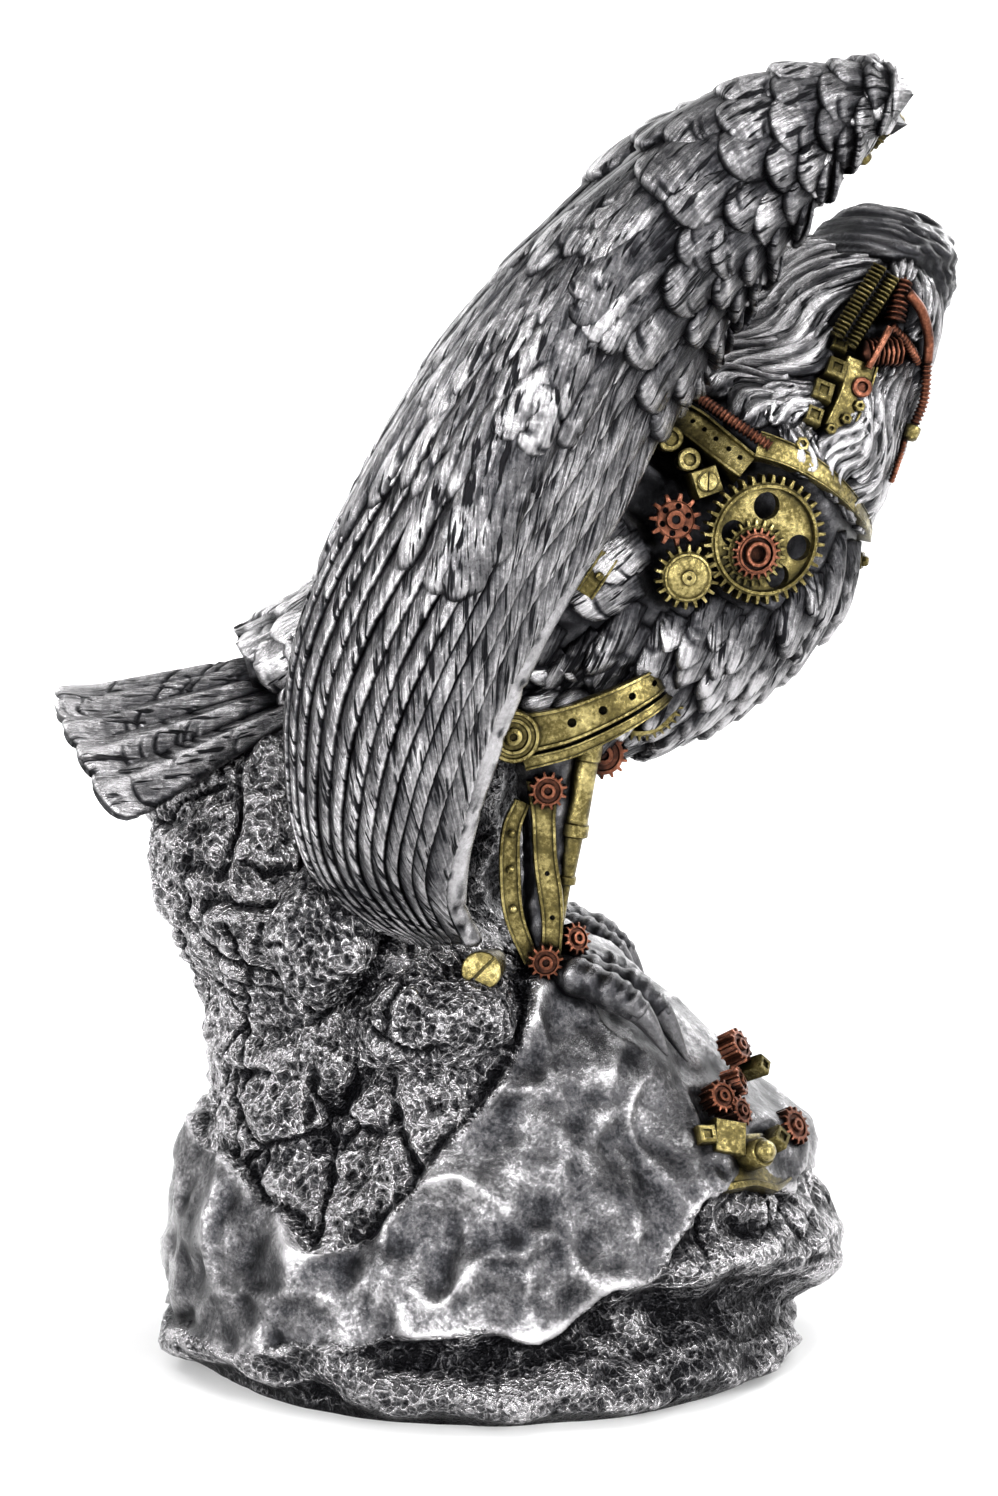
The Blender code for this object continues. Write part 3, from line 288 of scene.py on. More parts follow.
def barb_rows(rows, t, seed, slit_share, inner=0.0):
    """Barbs along the rows of a vane's grid: ribs in -0.5..0.5, and slits in 0..1 that taper at both ends."""
    number = np.arange(rows)
    rough = shuffled(number, seed) - 0.5
    ribs = 0.65 * rough + 0.35 * np.roll(rough, 1)
    slits = np.zeros((rows, len(t)))
    for layer in (1, 2):
        chosen = shuffled(number + 300 * layer, seed + 1) < slit_share
        spot = 2 * shuffled(number + 500 * layer, seed + 2) - 1
        centre = np.sign(spot) * (inner + (1 - inner) * np.abs(spot))
        reach = 0.35 + 0.45 * shuffled(number + 700 * layer, seed + 3)
        taper = 1 - ((t[None, :] - centre[:, None]) / reach[:, None]) ** 2
        slits = np.maximum(slits, chosen[:, None] * np.clip(taper, 0, 1) ** 0.6)
    return ribs[:, None], slits


@dataclass
class Plume:
    """The cut of a kind of feather, in millimetres and shares."""

    width: float
    rise: float
    length_steps: int = 24
    width_steps: int = 9
    dome: float = 0.8
    blunt: float = 2.0
    tip_share: float = 0.5
    vee: float = 0.5
    root_lift: float = 0.3
    barb: float = 0.16
    slit: float = 0.8
    slit_share: float = 0.12
    edge: float = 1.1
    sink: float = 1.5
    shine: float = 0.5


def lay_feather(heap, sheet, root, tip, cut, seed=0.0, width=None):
    """Lays one feather on a sheet from root to tip, both (share across, share along)."""
    width = cut.width if width is None else width
    half = width / 2
    s = np.linspace(0, 1, cut.length_steps)[:, None]
    t = spread_share(cut.width_steps)[None, :]
    root, travel = np.asarray(root, float), np.asarray(tip, float) - np.asarray(root, float)
    middle = root + travel * s
    small = 2e-3
    place, normal = sheet.at(middle[:, 0], middle[:, 1])
    by_across = (sheet.at(middle[:, 0] + small, middle[:, 1])[0] - place) / small
    by_down = (sheet.at(middle[:, 0], middle[:, 1] - small)[0] - place) / -small
    length = float(np.linalg.norm(np.diff(place, axis=0), axis=1).sum())
    aside = np.cross(normal, by_across * travel[0] + by_down * travel[1])
    aside /= np.maximum(np.linalg.norm(aside, axis=1, keepdims=True), 1e-9)
    e, f, g = (by_across**2).sum(1), (by_across * by_down).sum(1), (by_down**2).sum(1)
    wanted = np.stack([(by_across * aside).sum(1), (by_down * aside).sum(1)], axis=1)
    determinant = np.maximum(e * g - f * f, 1e-3)
    step_across = ((g * wanted[:, 0] - f * wanted[:, 1]) / determinant)[:, None]
    step_down = ((e * wanted[:, 1] - f * wanted[:, 0]) / determinant)[:, None]

    round_tip = 1 - (1 - np.abs(t) ** cut.blunt) ** (1 / cut.blunt)
    run = 1 - cut.tip_share * width / max(length, width) * round_tip
    run = run * (s + cut.vee * np.abs(t) * s * (1 - s))
    ribs, slits = barb_rows(cut.length_steps, t[0], seed, cut.slit_share, 0.55)
    slits = slits * smooth_step(0.1, 0.4, s) * (1 - smooth_step(0.93, 1.0, s))
    swell = 0.75 + 0.25 * smooth_step(0.0, 0.45, s)
    b = half * swell * (t + 0.10 * ribs * np.sign(t) * t**4)
    across = root[0] + travel[0] * run + step_across * b
    down = root[1] + travel[1] * run + step_down * b
    shaft = 0.4 * hump(half * t, 0.45) * (1 - 0.6 * s)
    body = cut.root_lift + (cut.rise - cut.root_lift) * run**1.15 + cut.dome * (1 - t**2)
    rim = cut.edge * (1 - np.sqrt(1 - np.maximum(np.abs(t) ** 9, s**14)))
    height = body + cut.barb * ribs + shaft - cut.slit * slits - rim
    wash = cut.shine + 0.33 * smooth_step(0.35, 0.95, run) + 0.26 * ribs + 0.3 * shaft - 0.7 * slits
    wash = wash + 0.24 * (shuffled(seed, 9.0) - 0.5)
    # Painted shade: the root, under the overlapping row, is darkened
    wash = wash * (0.2 + 0.8 * smooth_step(0.0, 0.4, run)) - 0.2 * (rim > 0.75 * cut.edge)
    grain = vane_grain(run * length, b, seed)
    sheet.lay(heap, across, down, height, np.clip(wash, 0, 1), cut.sink, grain)


# Round and toothed shapes

# A tooth of a wheel: share of its pitch, and 1 at its tip.
TOOTH_SHAPE = ((0.0, 0), (0.16, 0), (0.27, 1), (0.49, 1), (0.60, 0), (0.80, 0))
CHAMFER = 0.22
CUTTER_REACH = 4.0
# The slot of a screw: half its length and half its width as shares of the radius, and its depth.
SLOT_REACH, SLOT_WIDTH, SLOT_DEPTH = 1.2, 0.085, 0.5


def frame_of(axis):
    """Two unit vectors square to axis, the second as near to upright as it can be."""
    axis = Vector(axis).normalized()
    side = Vector(UPRIGHT).cross(axis)
    if side.length < 1e-4:
        side = Vector((1.0, 0.0, 0.0)).cross(axis)
    side.normalize()
    return np.array(side), np.array(axis.cross(side))


def unit(vector):
    vector = np.asarray(vector, float)
    return vector / np.linalg.norm(vector)


def rings_along(path, radii, sides, flat=1.0):
    """Rings round a path of points. flat squeezes them along the second direction."""
    path = np.asarray(path, float)
    tangents = np.gradient(path, axis=0)
    angles = np.linspace(0, 2 * math.pi, sides, endpoint=False)
    side, _ = frame_of(tangents[0])
    rings = []
    for point, tangent, radius in zip(path, tangents, np.broadcast_to(radii, len(path))):
        tangent = tangent / np.linalg.norm(tangent)
        side = side - tangent * np.dot(side, tangent)
        side /= np.linalg.norm(side)
        up = np.cross(tangent, side)
        ring = np.outer(np.cos(angles), side) + flat * np.outer(np.sin(angles), up)
        rings.append(point + radius * ring)
    return np.array(rings)


def rod(name, path, radii, kind, sides=12, flat=1.0, wash=0.6):
    """A plain rod along a path."""
    heap = Heap()
    heap.tube(rings_along(path, radii, sides, flat), wash)
    return heap.piece(name, kind)


def hose(name, path, radius, pitch, kind, sides=12, depth=0.2):
    """A ribbed hose along a smooth path."""
    path = np.asarray(path, float)
    length = np.linalg.norm(np.diff(path, axis=0), axis=1).sum()
    count = int(length / pitch * 6) + 2
    fine = along(path, np.linspace(0, 1, count))
    wave = np.cos(np.linspace(0, length / pitch, count) * 2 * math.pi)
    heap = Heap()
    rings = rings_along(fine, radius * (1 - depth / 2 + depth / 2 * wave), sides)
    heap.tube(rings, (0.50 + 0.45 * wave)[:, None])
    return heap.piece(name, kind)


def outward_of(rings, path):
    """Unit vectors from a path to the rings round it."""
    away = rings - path[:, None]
    return away / np.linalg.norm(away, axis=2, keepdims=True)


def with_ends(values):
    """Rows of values with the first and the last one doubled, for a grid that is closed at its ends."""
    return np.concatenate([values[:1], values, values[-1:]])


def turned(name, centre, axis, profile, kind, sides=28, spin=0.0):
    """A turned piece. The profile gives (radius, height along axis) from its back to its front."""
    side, up = frame_of(axis)
    angles = np.linspace(0, 2 * math.pi, sides, endpoint=False) + spin
    ring = np.outer(np.cos(angles), side) + np.outer(np.sin(angles), up)
    heap = Heap()
    heap.tube(np.array([np.asarray(centre) + r * ring + h * unit(axis) for r, h in profile]), 0.6)
    return heap.piece(name, kind, sharp=True)


def gear(name, centre, axis, radius, teeth, kind, face, depth=5.0, tooth=1.6):
    """A toothed wheel. face gives (radius, height) from inside the teeth to the middle of its front."""
    side, up = frame_of(axis)
    share = np.array([(i + s) / teeth for i in range(teeth) for s, _ in TOOTH_SHAPE])
    tall = np.array([h for _ in range(teeth) for _, h in TOOTH_SHAPE], float)
    ring = np.outer(np.cos(share * 2 * math.pi), side) + np.outer(np.sin(share * 2 * math.pi), up)
    root = radius - tooth
    rows = [
        (root + tooth * tall, -depth),
        (root + tooth * tall, -CHAMFER),
        (root - CHAMFER + (tooth - CHAMFER * 0.6) * tall, 0.0),
    ]
    rows += [(np.full(len(tall), r), h) for r, h in face]
    heap = Heap()
    heap.tube(np.array([np.asarray(centre) + ring * r[:, None] + h * unit(axis) for r, h in rows]), 0.6)
    return heap.piece(name, kind, sharp=True)


def band(name, path, normals, widths, thickness, kind, lip=0.35, lip_share=0.14, speckle=0.0):
    """A flat strap along a path with a raised lip at each edge, its face square to the normals."""
    path, normals = np.asarray(path, float), np.asarray(normals, float)
    normals = normals / np.linalg.norm(normals, axis=1, keepdims=True)
    across = np.cross(normals, np.gradient(path, axis=0))
    across /= np.linalg.norm(across, axis=1, keepdims=True)
    half = np.broadcast_to(np.asarray(widths, float) / 2, len(path))[:, None, None]
    soft = 0.06
    inner = 1 - lip_share
    profile = [(-1, -thickness), (-1, -0.3), (-1 + soft, 0), (-inner, 0), (-inner + soft, -lip)]
    profile += [(p, -lip) for p in np.linspace(-inner + 0.2, inner - 0.2, 7)]
    profile += [(inner - soft, -lip), (inner, 0), (1 - soft, 0), (1, -0.3), (1, -thickness)]
    reach = np.array([p for p, _ in profile])[None, :, None]
    tall = np.array([h for _, h in profile])[None, :] * np.ones((len(path), 1))
    points = path[:, None] + across[:, None] * half * reach
    if speckle:
        shell = np.zeros_like(tall)
        shell[:, 5:12] = speckle * np.abs(roughness_at(points[:, 5:12], 0.9, 2.0))
        tall = tall + shell
    points = points + normals[:, None] * tall[..., None]
    wash = np.clip(0.6 + 0.9 * (tall + lip * 0.6), 0, 1)
    heap = Heap()
    heap.tube(points, wash)
    return heap.piece(name, kind, sharp=True)


def carved(thing, cutters):
    """Cuts the cutters out of a piece and removes them."""
    group = bpy.data.collections.new(f"{thing.name}_cutters")
    for cutter in cutters:
        group.objects.link(cutter)
    cut = thing.modifiers.new("cut", "BOOLEAN")
    cut.operation = "DIFFERENCE"
    cut.operand_type = "COLLECTION"
    cut.collection = group
    cut.solver = "MANIFOLD"
    bpy.context.view_layer.update()
    graph = bpy.context.evaluated_depsgraph_get()
    mesh = bpy.data.meshes.new_from_object(thing.evaluated_get(graph))
    thing.modifiers.clear()
    thing.data = mesh
    mesh.set_sharp_from_angle(angle=SHARP_EDGE)
    for cutter in cutters:
        bpy.data.objects.remove(cutter)
    bpy.data.collections.remove(group)
    return thing


def bore(place, axis, radius, kind, depth=4.0):
    """A cutter for a round hole."""
    return turned("bore", place, axis, ((radius, -depth), (radius, CUTTER_REACH)), kind, sides=20)


def screw(name, place, axis, radius, kind, height=1.2, turn=0.6):
    """A cheese-head screw with its slot."""
    place, axis = np.asarray(place, float), unit(axis)
    profile = ((radius, -4.0), (radius, height - 0.3), (radius - 0.3, height))
    head = turned(name, place, axis, profile, kind, sides=24)
    side, up = frame_of(axis)
    run = radius * SLOT_REACH * (math.cos(turn) * side + math.sin(turn) * up)
    cross = SLOT_WIDTH / SLOT_REACH * np.cross(axis, run)
    ring = np.array([p * run + q * cross for p, q in ((-1, -1), (1, -1), (1, 1), (-1, 1))])
    cutter = Heap()
    cutter.tube(np.array([place + ring + (height + h) * axis for h in (-SLOT_DEPTH, CUTTER_REACH)]))
    return carved(head, [cutter.piece("slot", kind)])


# Materials


def metal(name, tones, rough, bump=0.00014, worn=None, patina=0.5, ao_reach=0.005, strands=0.0, veins=0.0):
    """Aged metal: a dark wash in the hollows deepened by painted shade from ambient occlusion, rubbed edges,
    mottling and fine pits.

    tones gives (share, colour) from the darkest wash to the brightest rubbed metal, and rough the
    roughness of the two. worn is one share for the whole piece, where the mesh holds no wash of its own.
    strands is how strongly the fine strands along the mesh's grain show, and veins the crumbled stone's.
    """
    made = bpy.data.materials.new(name)
    made.use_nodes = True
    nodes, links = made.node_tree.nodes, made.node_tree.links
    shader = nodes["Principled BSDF"]

    def add(kind, inputs, **settings):
        """A node with its settings, each input linked to an output or set to a value."""
        node = nodes.new(f"ShaderNode{kind}")
        for key, value in settings.items():
            setattr(node, key, value)
        for key, value in inputs.items():
            if isinstance(value, bpy.types.NodeSocket):
                links.new(value, node.inputs[key])
            else:
                node.inputs[key].default_value = value
        return node

    place = add("TexCoord", {}).outputs["Object"]

    def mottle(scale, detail, roughness=0.55, where=place):
        inputs = {"Scale": scale, "Detail": detail, "Roughness": roughness, "Vector": where}
        return add("TexNoise", inputs).outputs["Fac"]

    def strand_noise(across, along_it, detail):
        grain = add("Attribute", {}, attribute_name="grain").outputs["Vector"]
        stretched = add("VectorMath", {0: grain, 1: (across, along_it, 1.0)}, operation="MULTIPLY")
        return mottle(1.0, detail, 0.6, stretched.outputs["Vector"])

    def eased(source, start, end):
        """0 to 1 as the source goes from start to end."""
        inputs = {"Value": source, "From Min": start, "From Max": end}
        return add("MapRange", inputs, interpolation_type="SMOOTHSTEP").outputs["Result"]

    def weighed(source, factor, middle, total):
        """total + factor * (source - middle), where total is a number or an output."""
        if isinstance(total, float):
            rest = total - factor * middle
        else:
            rest = add("Math", {0: total, 1: factor * middle}, operation="SUBTRACT").outputs[0]
        return add("Math", {0: source, 1: factor, 2: rest}, operation="MULTIPLY_ADD").outputs[0]

    # The mesh's per-point value holds the dark wash, with painted shade laid into it in places
    start = add("Attribute", {}, attribute_name="wash").outputs["Fac"] if worn is None else worn
    value = weighed(mottle(160.0, 4.0), patina, 0.5, start)
    value = weighed(mottle(1000.0, 6.0, 0.7), 1.1 * patina, 0.5, value)
    # Painted shade: ambient occlusion darkens creases and the gaps between pieces
    occlusion = add("AmbientOcclusion", {"Distance": ao_reach}, samples=6)
    value = weighed(occlusion.outputs["AO"], 0.75, 0.9, value)
    height = mottle(1500.0, 5.0, 0.75)
    if strands:
        fine = strand_noise(1.5, 0.13, 3.0)
        gap = eased(strand_noise(0.8, 0.10, 2.0), 0.57, 0.66)
        value = weighed(fine, strands, 0.5, value)
        value = weighed(gap, -0.75 * strands, 0.28, value)
        height = weighed(gap, -1.5, 0.0, weighed(fine, 2.0, 0.5, height))
    if veins:
        push = add("TexNoise", {"Scale": 330.0, "Vector": place}).outputs["Color"]
        moved = add("VectorMath", {0: push, 1: (0.004, 0.004, 0.004), 2: place}, operation="MULTIPLY_ADD")
        for scale, share in ((400.0, 1.0), (900.0, 0.6)):
            inputs = {"Scale": scale, "Vector": moved.outputs["Vector"]}
            cell = add("TexVoronoi", inputs, feature="DISTANCE_TO_EDGE")
            crest = eased(cell.outputs["Distance"], 0.22, 0.02)
            value = weighed(crest, veins * share, 0.42, value)
            height = weighed(crest, 2.0 * share, 0.0, height)
    ramp = add("ValToRGB", {"Fac": value})
    while len(ramp.color_ramp.elements) < len(tones):
        ramp.color_ramp.elements.new(0.5)
    for element, (share, colour) in zip(ramp.color_ramp.elements, tones):
        element.position = share
        element.color = (*colour, 1.0)
    gloss = add("MapRange", {"Value": value, "To Min": rough[0], "To Max": rough[1]})
    relief = add("Bump", {"Strength": 0.9, "Distance": bump, "Height": height})
    shader.inputs["Metallic"].default_value = 0.9
    links.new(ramp.outputs["Color"], shader.inputs["Base Color"])
    links.new(gloss.outputs["Result"], shader.inputs["Roughness"])
    links.new(relief.outputs["Normal"], shader.inputs["Normal"])
    return made


SILVER_TONES = (
    (0.16, (0.004, 0.004, 0.005)),
    (0.38, (0.026, 0.026, 0.029)),
    (0.64, (0.105, 0.103, 0.107)),
    (1.00, (0.46, 0.45, 0.46)),
)
BRASS_TONES = (
    (0.16, (0.008, 0.007, 0.003)),
    (0.40, (0.032, 0.026, 0.008)),
    (0.64, (0.105, 0.084, 0.027)),
    (1.00, (0.56, 0.47, 0.20)),
)
COPPER_TONES = (
    (0.16, (0.008, 0.004, 0.003)),
    (0.40, (0.036, 0.013, 0.008)),
    (0.64, (0.125, 0.042, 0.022)),
    (1.00, (0.50, 0.21, 0.13)),
)
SILVER = metal("antique_silver", SILVER_TONES, (0.40, 0.14), bump=0.00018, strands=0.85)
STONE = metal("silvered_stone", SILVER_TONES, (0.42, 0.17), bump=0.00028, patina=0.7, veins=0.38)
MELT = metal("silvered_melt", SILVER_TONES, (0.40, 0.16), bump=0.0002, patina=0.9)
BRASS = metal("aged_brass", BRASS_TONES, (0.46, 0.18), worn=0.60, patina=0.8, ao_reach=0.004)
COPPER = metal("aged_copper", COPPER_TONES, (0.46, 0.22), worn=0.60, patina=0.7, ao_reach=0.004)
DARK = metal("blackened_metal", ((0.0, (0.004, 0.004, 0.005)), (1.0, (0.03, 0.03, 0.033))), (0.6, 0.45))


# Wings. Four flow lines run from the arm to the wing's tip, from its front edge to its rear one.

FRONT_LINE = (
    (38.6, -42.0, 229.0), (30.0, -49.0, 214.3), (22.6, -54.0, 198.0), (13.2, -57.0, 183.8),
    (5.2, -60.0, 170.4), (-1.9, -61.0, 155.1), (-7.2, -60.0, 139.9), (-11.3, -58.0, 124.4),
    (-12.2, -55.0, 112.9), (-8.7, -51.0, 104.0),
)
CREST_LINE = (
    (60.0, -62.0, 262.0), (40.0, -70.0, 256.0), (18.2, -74.5, 243.0), (4.0, -76.0, 223.6),
    (-7.0, -76.0, 203.2), (-14.0, -74.0, 182.4), (-21.5, -71.0, 161.2), (-27.0, -66.5, 139.4),
    (-27.7, -60.0, 121.1), (-17.4, -51.0, 103.6),
)
OUTER_LINE = (
    (82.0, -60.0, 287.0), (69.0, -64.0, 289.0), (45.5, -66.0, 285.8), (23.2, -66.0, 271.3),
    (-5.4, -63.0, 243.6), (-30.0, -56.0, 208.2), (-46.6, -49.0, 171.4), (-49.0, -46.0, 140.5),
    (-43.5, -47.0, 119.0), (-25.9, -48.0, 103.4),
)
REAR_LINE = (
    (79.0, -47.0, 285.0), (64.5, -46.0, 285.2), (44.0, -45.0, 280.5), (22.5, -43.0, 265.5),
    (-5.0, -39.0, 240.5), (-28.0, -33.0, 205.0), (-43.0, -28.0, 170.0), (-44.5, -30.0, 141.0),
    (-38.5, -37.0, 118.0), (-24.5, -43.0, 103.0),
)
LINE_SHARES = (0.0, 0.42, 0.82, 1.0)
LEFT_WING_SHIFT = (5.5, 1.0, -3.5)
ARM_RADIUS = 8.0
WING_INSET = 1.3
EDGE_STEPS = 7
FLIGHT_FEATHERS = 16
INNER_FEATHERS = 9
# The arm's thickness from the shoulder to its end, and the share of it that its scales cover.
ARM_TAPER = (1.1, 0.9, 0.82, 0.8, 0.84, 0.88, 0.9, 0.86, 0.8, 0.5)
ARM_SCALED = 0.90
ARM_CUT = Plume(
    6.6, 2.4, 11, 7, dome=0.8, blunt=1.8, tip_share=0.6, edge=1.2, root_lift=0.0, shine=0.34
)

# Rows of coverts from the lowest: where each ends on the front and rear edge, how many feathers
# fill the whole width, its rise, and the first and last share of the width that it covers.
COVERT_ROWS = (
    (0.44, 0.66, 20, 2.5, 0.30, 1.0),
    (0.30, 0.52, 19, 2.8, 0.25, 1.0),
    (0.20, 0.39, 19, 3.2, 0.30, 1.0),
    (0.19, 0.36, 10, 3.6, 0.0, 0.30),
    (0.115, 0.26, 10, 3.9, 0.0, 0.8),
    (0.070, 0.20, 10, 4.1, 0.0, 1.0),
    (0.042, 0.14, 10, 4.2, 0.0, 1.0),
    (0.024, 0.09, 11, 4.3, 0.0, 1.0),
    (0.012, 0.055, 11, 4.4, 0.0, 1.0),
    (0.005, 0.03, 10, 4.5, 0.0, 1.0),
)
INNER_COVERT_ROWS = ((0.33, 0.45, 8, 2.2, 0.0, 1.0), (0.16, 0.24, 8, 2.8, 0.0, 1.0))


def wing_surface(u, v):
    """Points of the right wing's smooth outer face. u runs front to rear, v from arm to tip."""
    lines = np.stack([along(line, v) for line in (FRONT_LINE, CREST_LINE, OUTER_LINE, REAR_LINE)], axis=-2)
    knots = np.array(LINE_SHARES)
    k = np.clip(np.searchsorted(knots, u, side="right") - 1, 0, 2)
    span = (knots[k + 1] - knots[k])[..., None]
    s = (u - knots[k])[..., None] / span

    def line(i):
        return np.take_along_axis(lines, i[..., None, None], axis=-2)[..., 0, :]

    def slope(i):
        after, before = np.minimum(i + 1, 3), np.maximum(i - 1, 0)
        return (line(after) - line(before)) / (knots[after] - knots[before])[..., None]

    return hermite(s, line(k), slope(k) * span, line(k + 1), slope(k + 1) * span)


def wing_to_side(points, side):
    """Points given for the right wing, on its own side or on the left, where the wing sits forward."""
    if side < 0:
        return points
    share = np.interp(points[..., 2:3], (100, 150, 262, 290), (0.4, 1.0, 1.0, 0.3))
    return points * (1, -1, 1) + np.array(LEFT_WING_SHIFT) * share


def wing_thickness(v):
    """The wing is thick at its arm and thin below."""
    return 4.6 + 2.4 * smooth_step(0.35, 0.7, v) * (1 - smooth_step(0.85, 1.0, v)) + 1.5 * hump(v, 0.1)


def wing_sheets(side):
    """The outer and inner face of one wing."""
    u, v = np.meshgrid(np.linspace(0, 1, 161), np.linspace(0, 1, 221))
    points = wing_to_side(wing_surface(u, v), side)
    outer = Sheet(points, facing=(0, side, 0))
    thick = wing_thickness(v)[..., None]
    inner = Sheet(points - outer.normals * (WING_INSET + thick), facing=(0, -side, 0))
    return outer, inner


def front_band(v):
    """Share across the wing of the smooth band at its front edge."""
    return 0.035 + 0.065 * smooth_step(0.3, 0.65, v) + 0.05 * smooth_step(0.8, 1.0, v)


def wing_web(heap, outer, rows, face):
    """The wing's core: rounded at its front and rear edge, smooth and pitted along the front band."""
    v = np.linspace(0, 1, rows)[:, None]
    thick = wing_thickness(v)
    radius = thick / 2
    ones = np.ones((rows, 30))
    wide = np.linalg.norm(np.diff(outer.at(np.linspace(0, 1, 30) * ones, v * ones)[0], axis=1), axis=2)
    inset = np.minimum(radius / np.maximum(wide.sum(axis=1)[:, None], 1e-6), 0.3)
    x = np.linspace(0, 1, face)[None, :] ** 1.3
    u = inset + (1 - 2 * inset) * x
    points, normals = outer.at(u, v * np.ones((1, face)))
    smooth = 1.0 - smooth_step(front_band(v), front_band(v) + 0.02, u)
    pits = hump(cells_at(points, 3.4, 3.0)[0], 0.25) * (roughness_at(points, 12.0, 8.0) > 0.0)
    sway = 0.35 * roughness_at(points, 9.0, 4.0)
    height = -WING_INSET * (1 - smooth) + smooth * (0.2 + sway - 0.8 * pits)
    height = np.where(v * np.ones_like(u) < 0.06, -0.6, height)
    front = points + normals * height[..., None]
    back = points - normals * (WING_INSET + thick[..., None])
    wash_front = np.clip(0.15 + smooth * (0.48 - 0.9 * pits + 0.4 * sway), 0, 1)

    def bullnose(start, end, away):
        angle = np.linspace(0, math.pi, EDGE_STEPS + 2)[1:-1]
        middle, reach = (start + end) / 2, (start - end) / 2
        size = np.linalg.norm(reach, axis=1, keepdims=True)
        away = away / np.maximum(np.linalg.norm(away, axis=1, keepdims=True), 1e-9) * size
        return np.stack([middle + reach * math.cos(a) + away * math.sin(a) for a in angle], axis=1)

    rear = bullnose(front[:, -1], back[:, -1], points[:, -1] - points[:, -3])
    fore = bullnose(back[:, 0], front[:, 0], points[:, 0] - points[:, 2])
    ring = np.concatenate([front, rear, back[:, ::-1], fore], axis=1)
    nicks = roughness_at(fore, 2.6, 6.0)
    wash_fore = np.clip(0.4 + 0.2 * smooth[:, :1] + 0.5 * nicks, 0, 1)
    plain = [np.full((rows, EDGE_STEPS), 0.35), np.full((rows, face), 0.3)]
    heap.tube(ring, np.concatenate([wash_front, *plain, wash_fore], axis=1), flip=outer.flip)


def flight_borders(v, count):
    """Shares across the wing where the flight feathers meet, closer together towards the rear."""
    front = front_band(v)
    power = 1.0 + 0.45 * smooth_step(0.3, 0.9, v)
    share = np.arange(count + 1) / count
    return front + (0.99 - front) * share ** (1 / power)


def flight_feathers(heap, sheet, count, rows, columns, ridge=1.5, plain=1.0):
    """Long feathers side by side from the arm to the tip, each with its serrated front edge on top.

    The rows of each grid follow its barbs, which cross the vane at a slant towards the front edge.
    """
    v = np.linspace(0.1, 1.0, rows)
    borders = flight_borders(v[:, None], count)
    t = spread_share(columns)[None, :]
    for i in range(count):
        low, high = borders[:, i], borders[:, i + 1]
        place, _ = sheet.at((low + high) / 2, v)
        a = np.concatenate([[0.0], np.cumsum(np.linalg.norm(np.diff(place, axis=0), axis=1))])
        half = np.linalg.norm(sheet.at(high, v)[0] - sheet.at(low, v)[0], axis=1) / 2
        line = np.linspace(0, a[-1], rows)[:, None]
        wide = np.interp(line, a, half)
        room = np.minimum(line, a[-1] - line)
        slant = np.minimum(BARB_SLANT, room / np.maximum(wide, 1e-6))
        here = line - slant * wide * t
        ribs, slits = barb_rows(rows, t[0], 1.7 * i + plain, 0.045)
        coarse = roughness_at(np.stack([line / 6.0, 0 * line + 3.0 * i, 0 * line], axis=-1), 1.0, plain)
        open_up = smooth_step(0.7, 2.6, wide)
        saw = (0.30 + 0.10 * ribs) * open_up * np.clip(-t, 0, 1) ** 3 * (line / 2.3 % 1.0)
        down = np.interp(here, a, v)
        low, high = np.interp(down, v, low), np.interp(down, v, high)
        wander = 0.05 * np.sin(21 * down + 2.3 * i)
        across = (low + high) / 2 + (high - low) * (wander + t / 2 + 0.08 * (t > 0) * t - 0.35 * saw)
        tilt = (1 - t) / 2
        edge = 1.15 * (1 - np.sqrt(1 - np.abs(t) ** 16))
        shaft = 0.3 * hump(t * wide + 0.2 * wide, 0.45)
        fine = plain * open_up * (0.14 * ribs + 0.30 * coarse * (1 - np.abs(t))) + shaft
        height = ridge * (0.2 + 0.8 * tilt**1.3) * (1 - 0.3 * down**2) + 0.3 * (1 - t**2) + fine
        height = height - plain * open_up * 0.7 * slits - edge
        height = height * (1 - smooth_step(0.95, 1.0, down)) - WING_INSET * smooth_step(0.97, 1.0, down)
        wash = 0.32 + 0.16 * tilt + plain * (0.14 * ribs + 0.08 * coarse) + 0.2 * shaft
        # Painted shade: each feather's rear edge is darkened where it lies in the groove under the next
        # feather's raised front edge
        wash = wash - 0.6 * plain * slits * open_up - 0.5 * smooth_step(0.6, 1.0, t)
        wash = wash + 0.22 * hump(t + 0.86, 0.12) - 0.4 * (edge > 0.8)
        wash = wash + 0.2 * roughness_at(sheet.at(across, down)[0], 14.0, 5.0)
        grain = grain_of(0.55 * line, 1.7 * wide * t, i + 31.0 * plain)
        sheet.lay(heap, np.clip(across, 0.0, 0.996), down, height, np.clip(wash, 0, 1), 1.5, grain)


def covert_cut(sheet, u, v_root, v_tip, width, rise, detail):
    """A covert's relief, with as many steps as its size needs."""
    ends, _ = sheet.at(np.array([u, u]), np.array([v_root, v_tip]))
    length = float(np.linalg.norm(ends[1] - ends[0]))
    length_steps = int(np.clip(detail * length / 0.8, 12, 40 * detail))
    width_steps = 2 * int(np.clip(detail * width / 1.5, 3, 5)) + 1
    return Plume(width, rise, length_steps, width_steps, dome=0.08 * width, slit_share=0.04, edge=1.6,
                 tip_share=0.5 if width > 6.0 else 1.1, root_lift=0.2, shine=0.14)


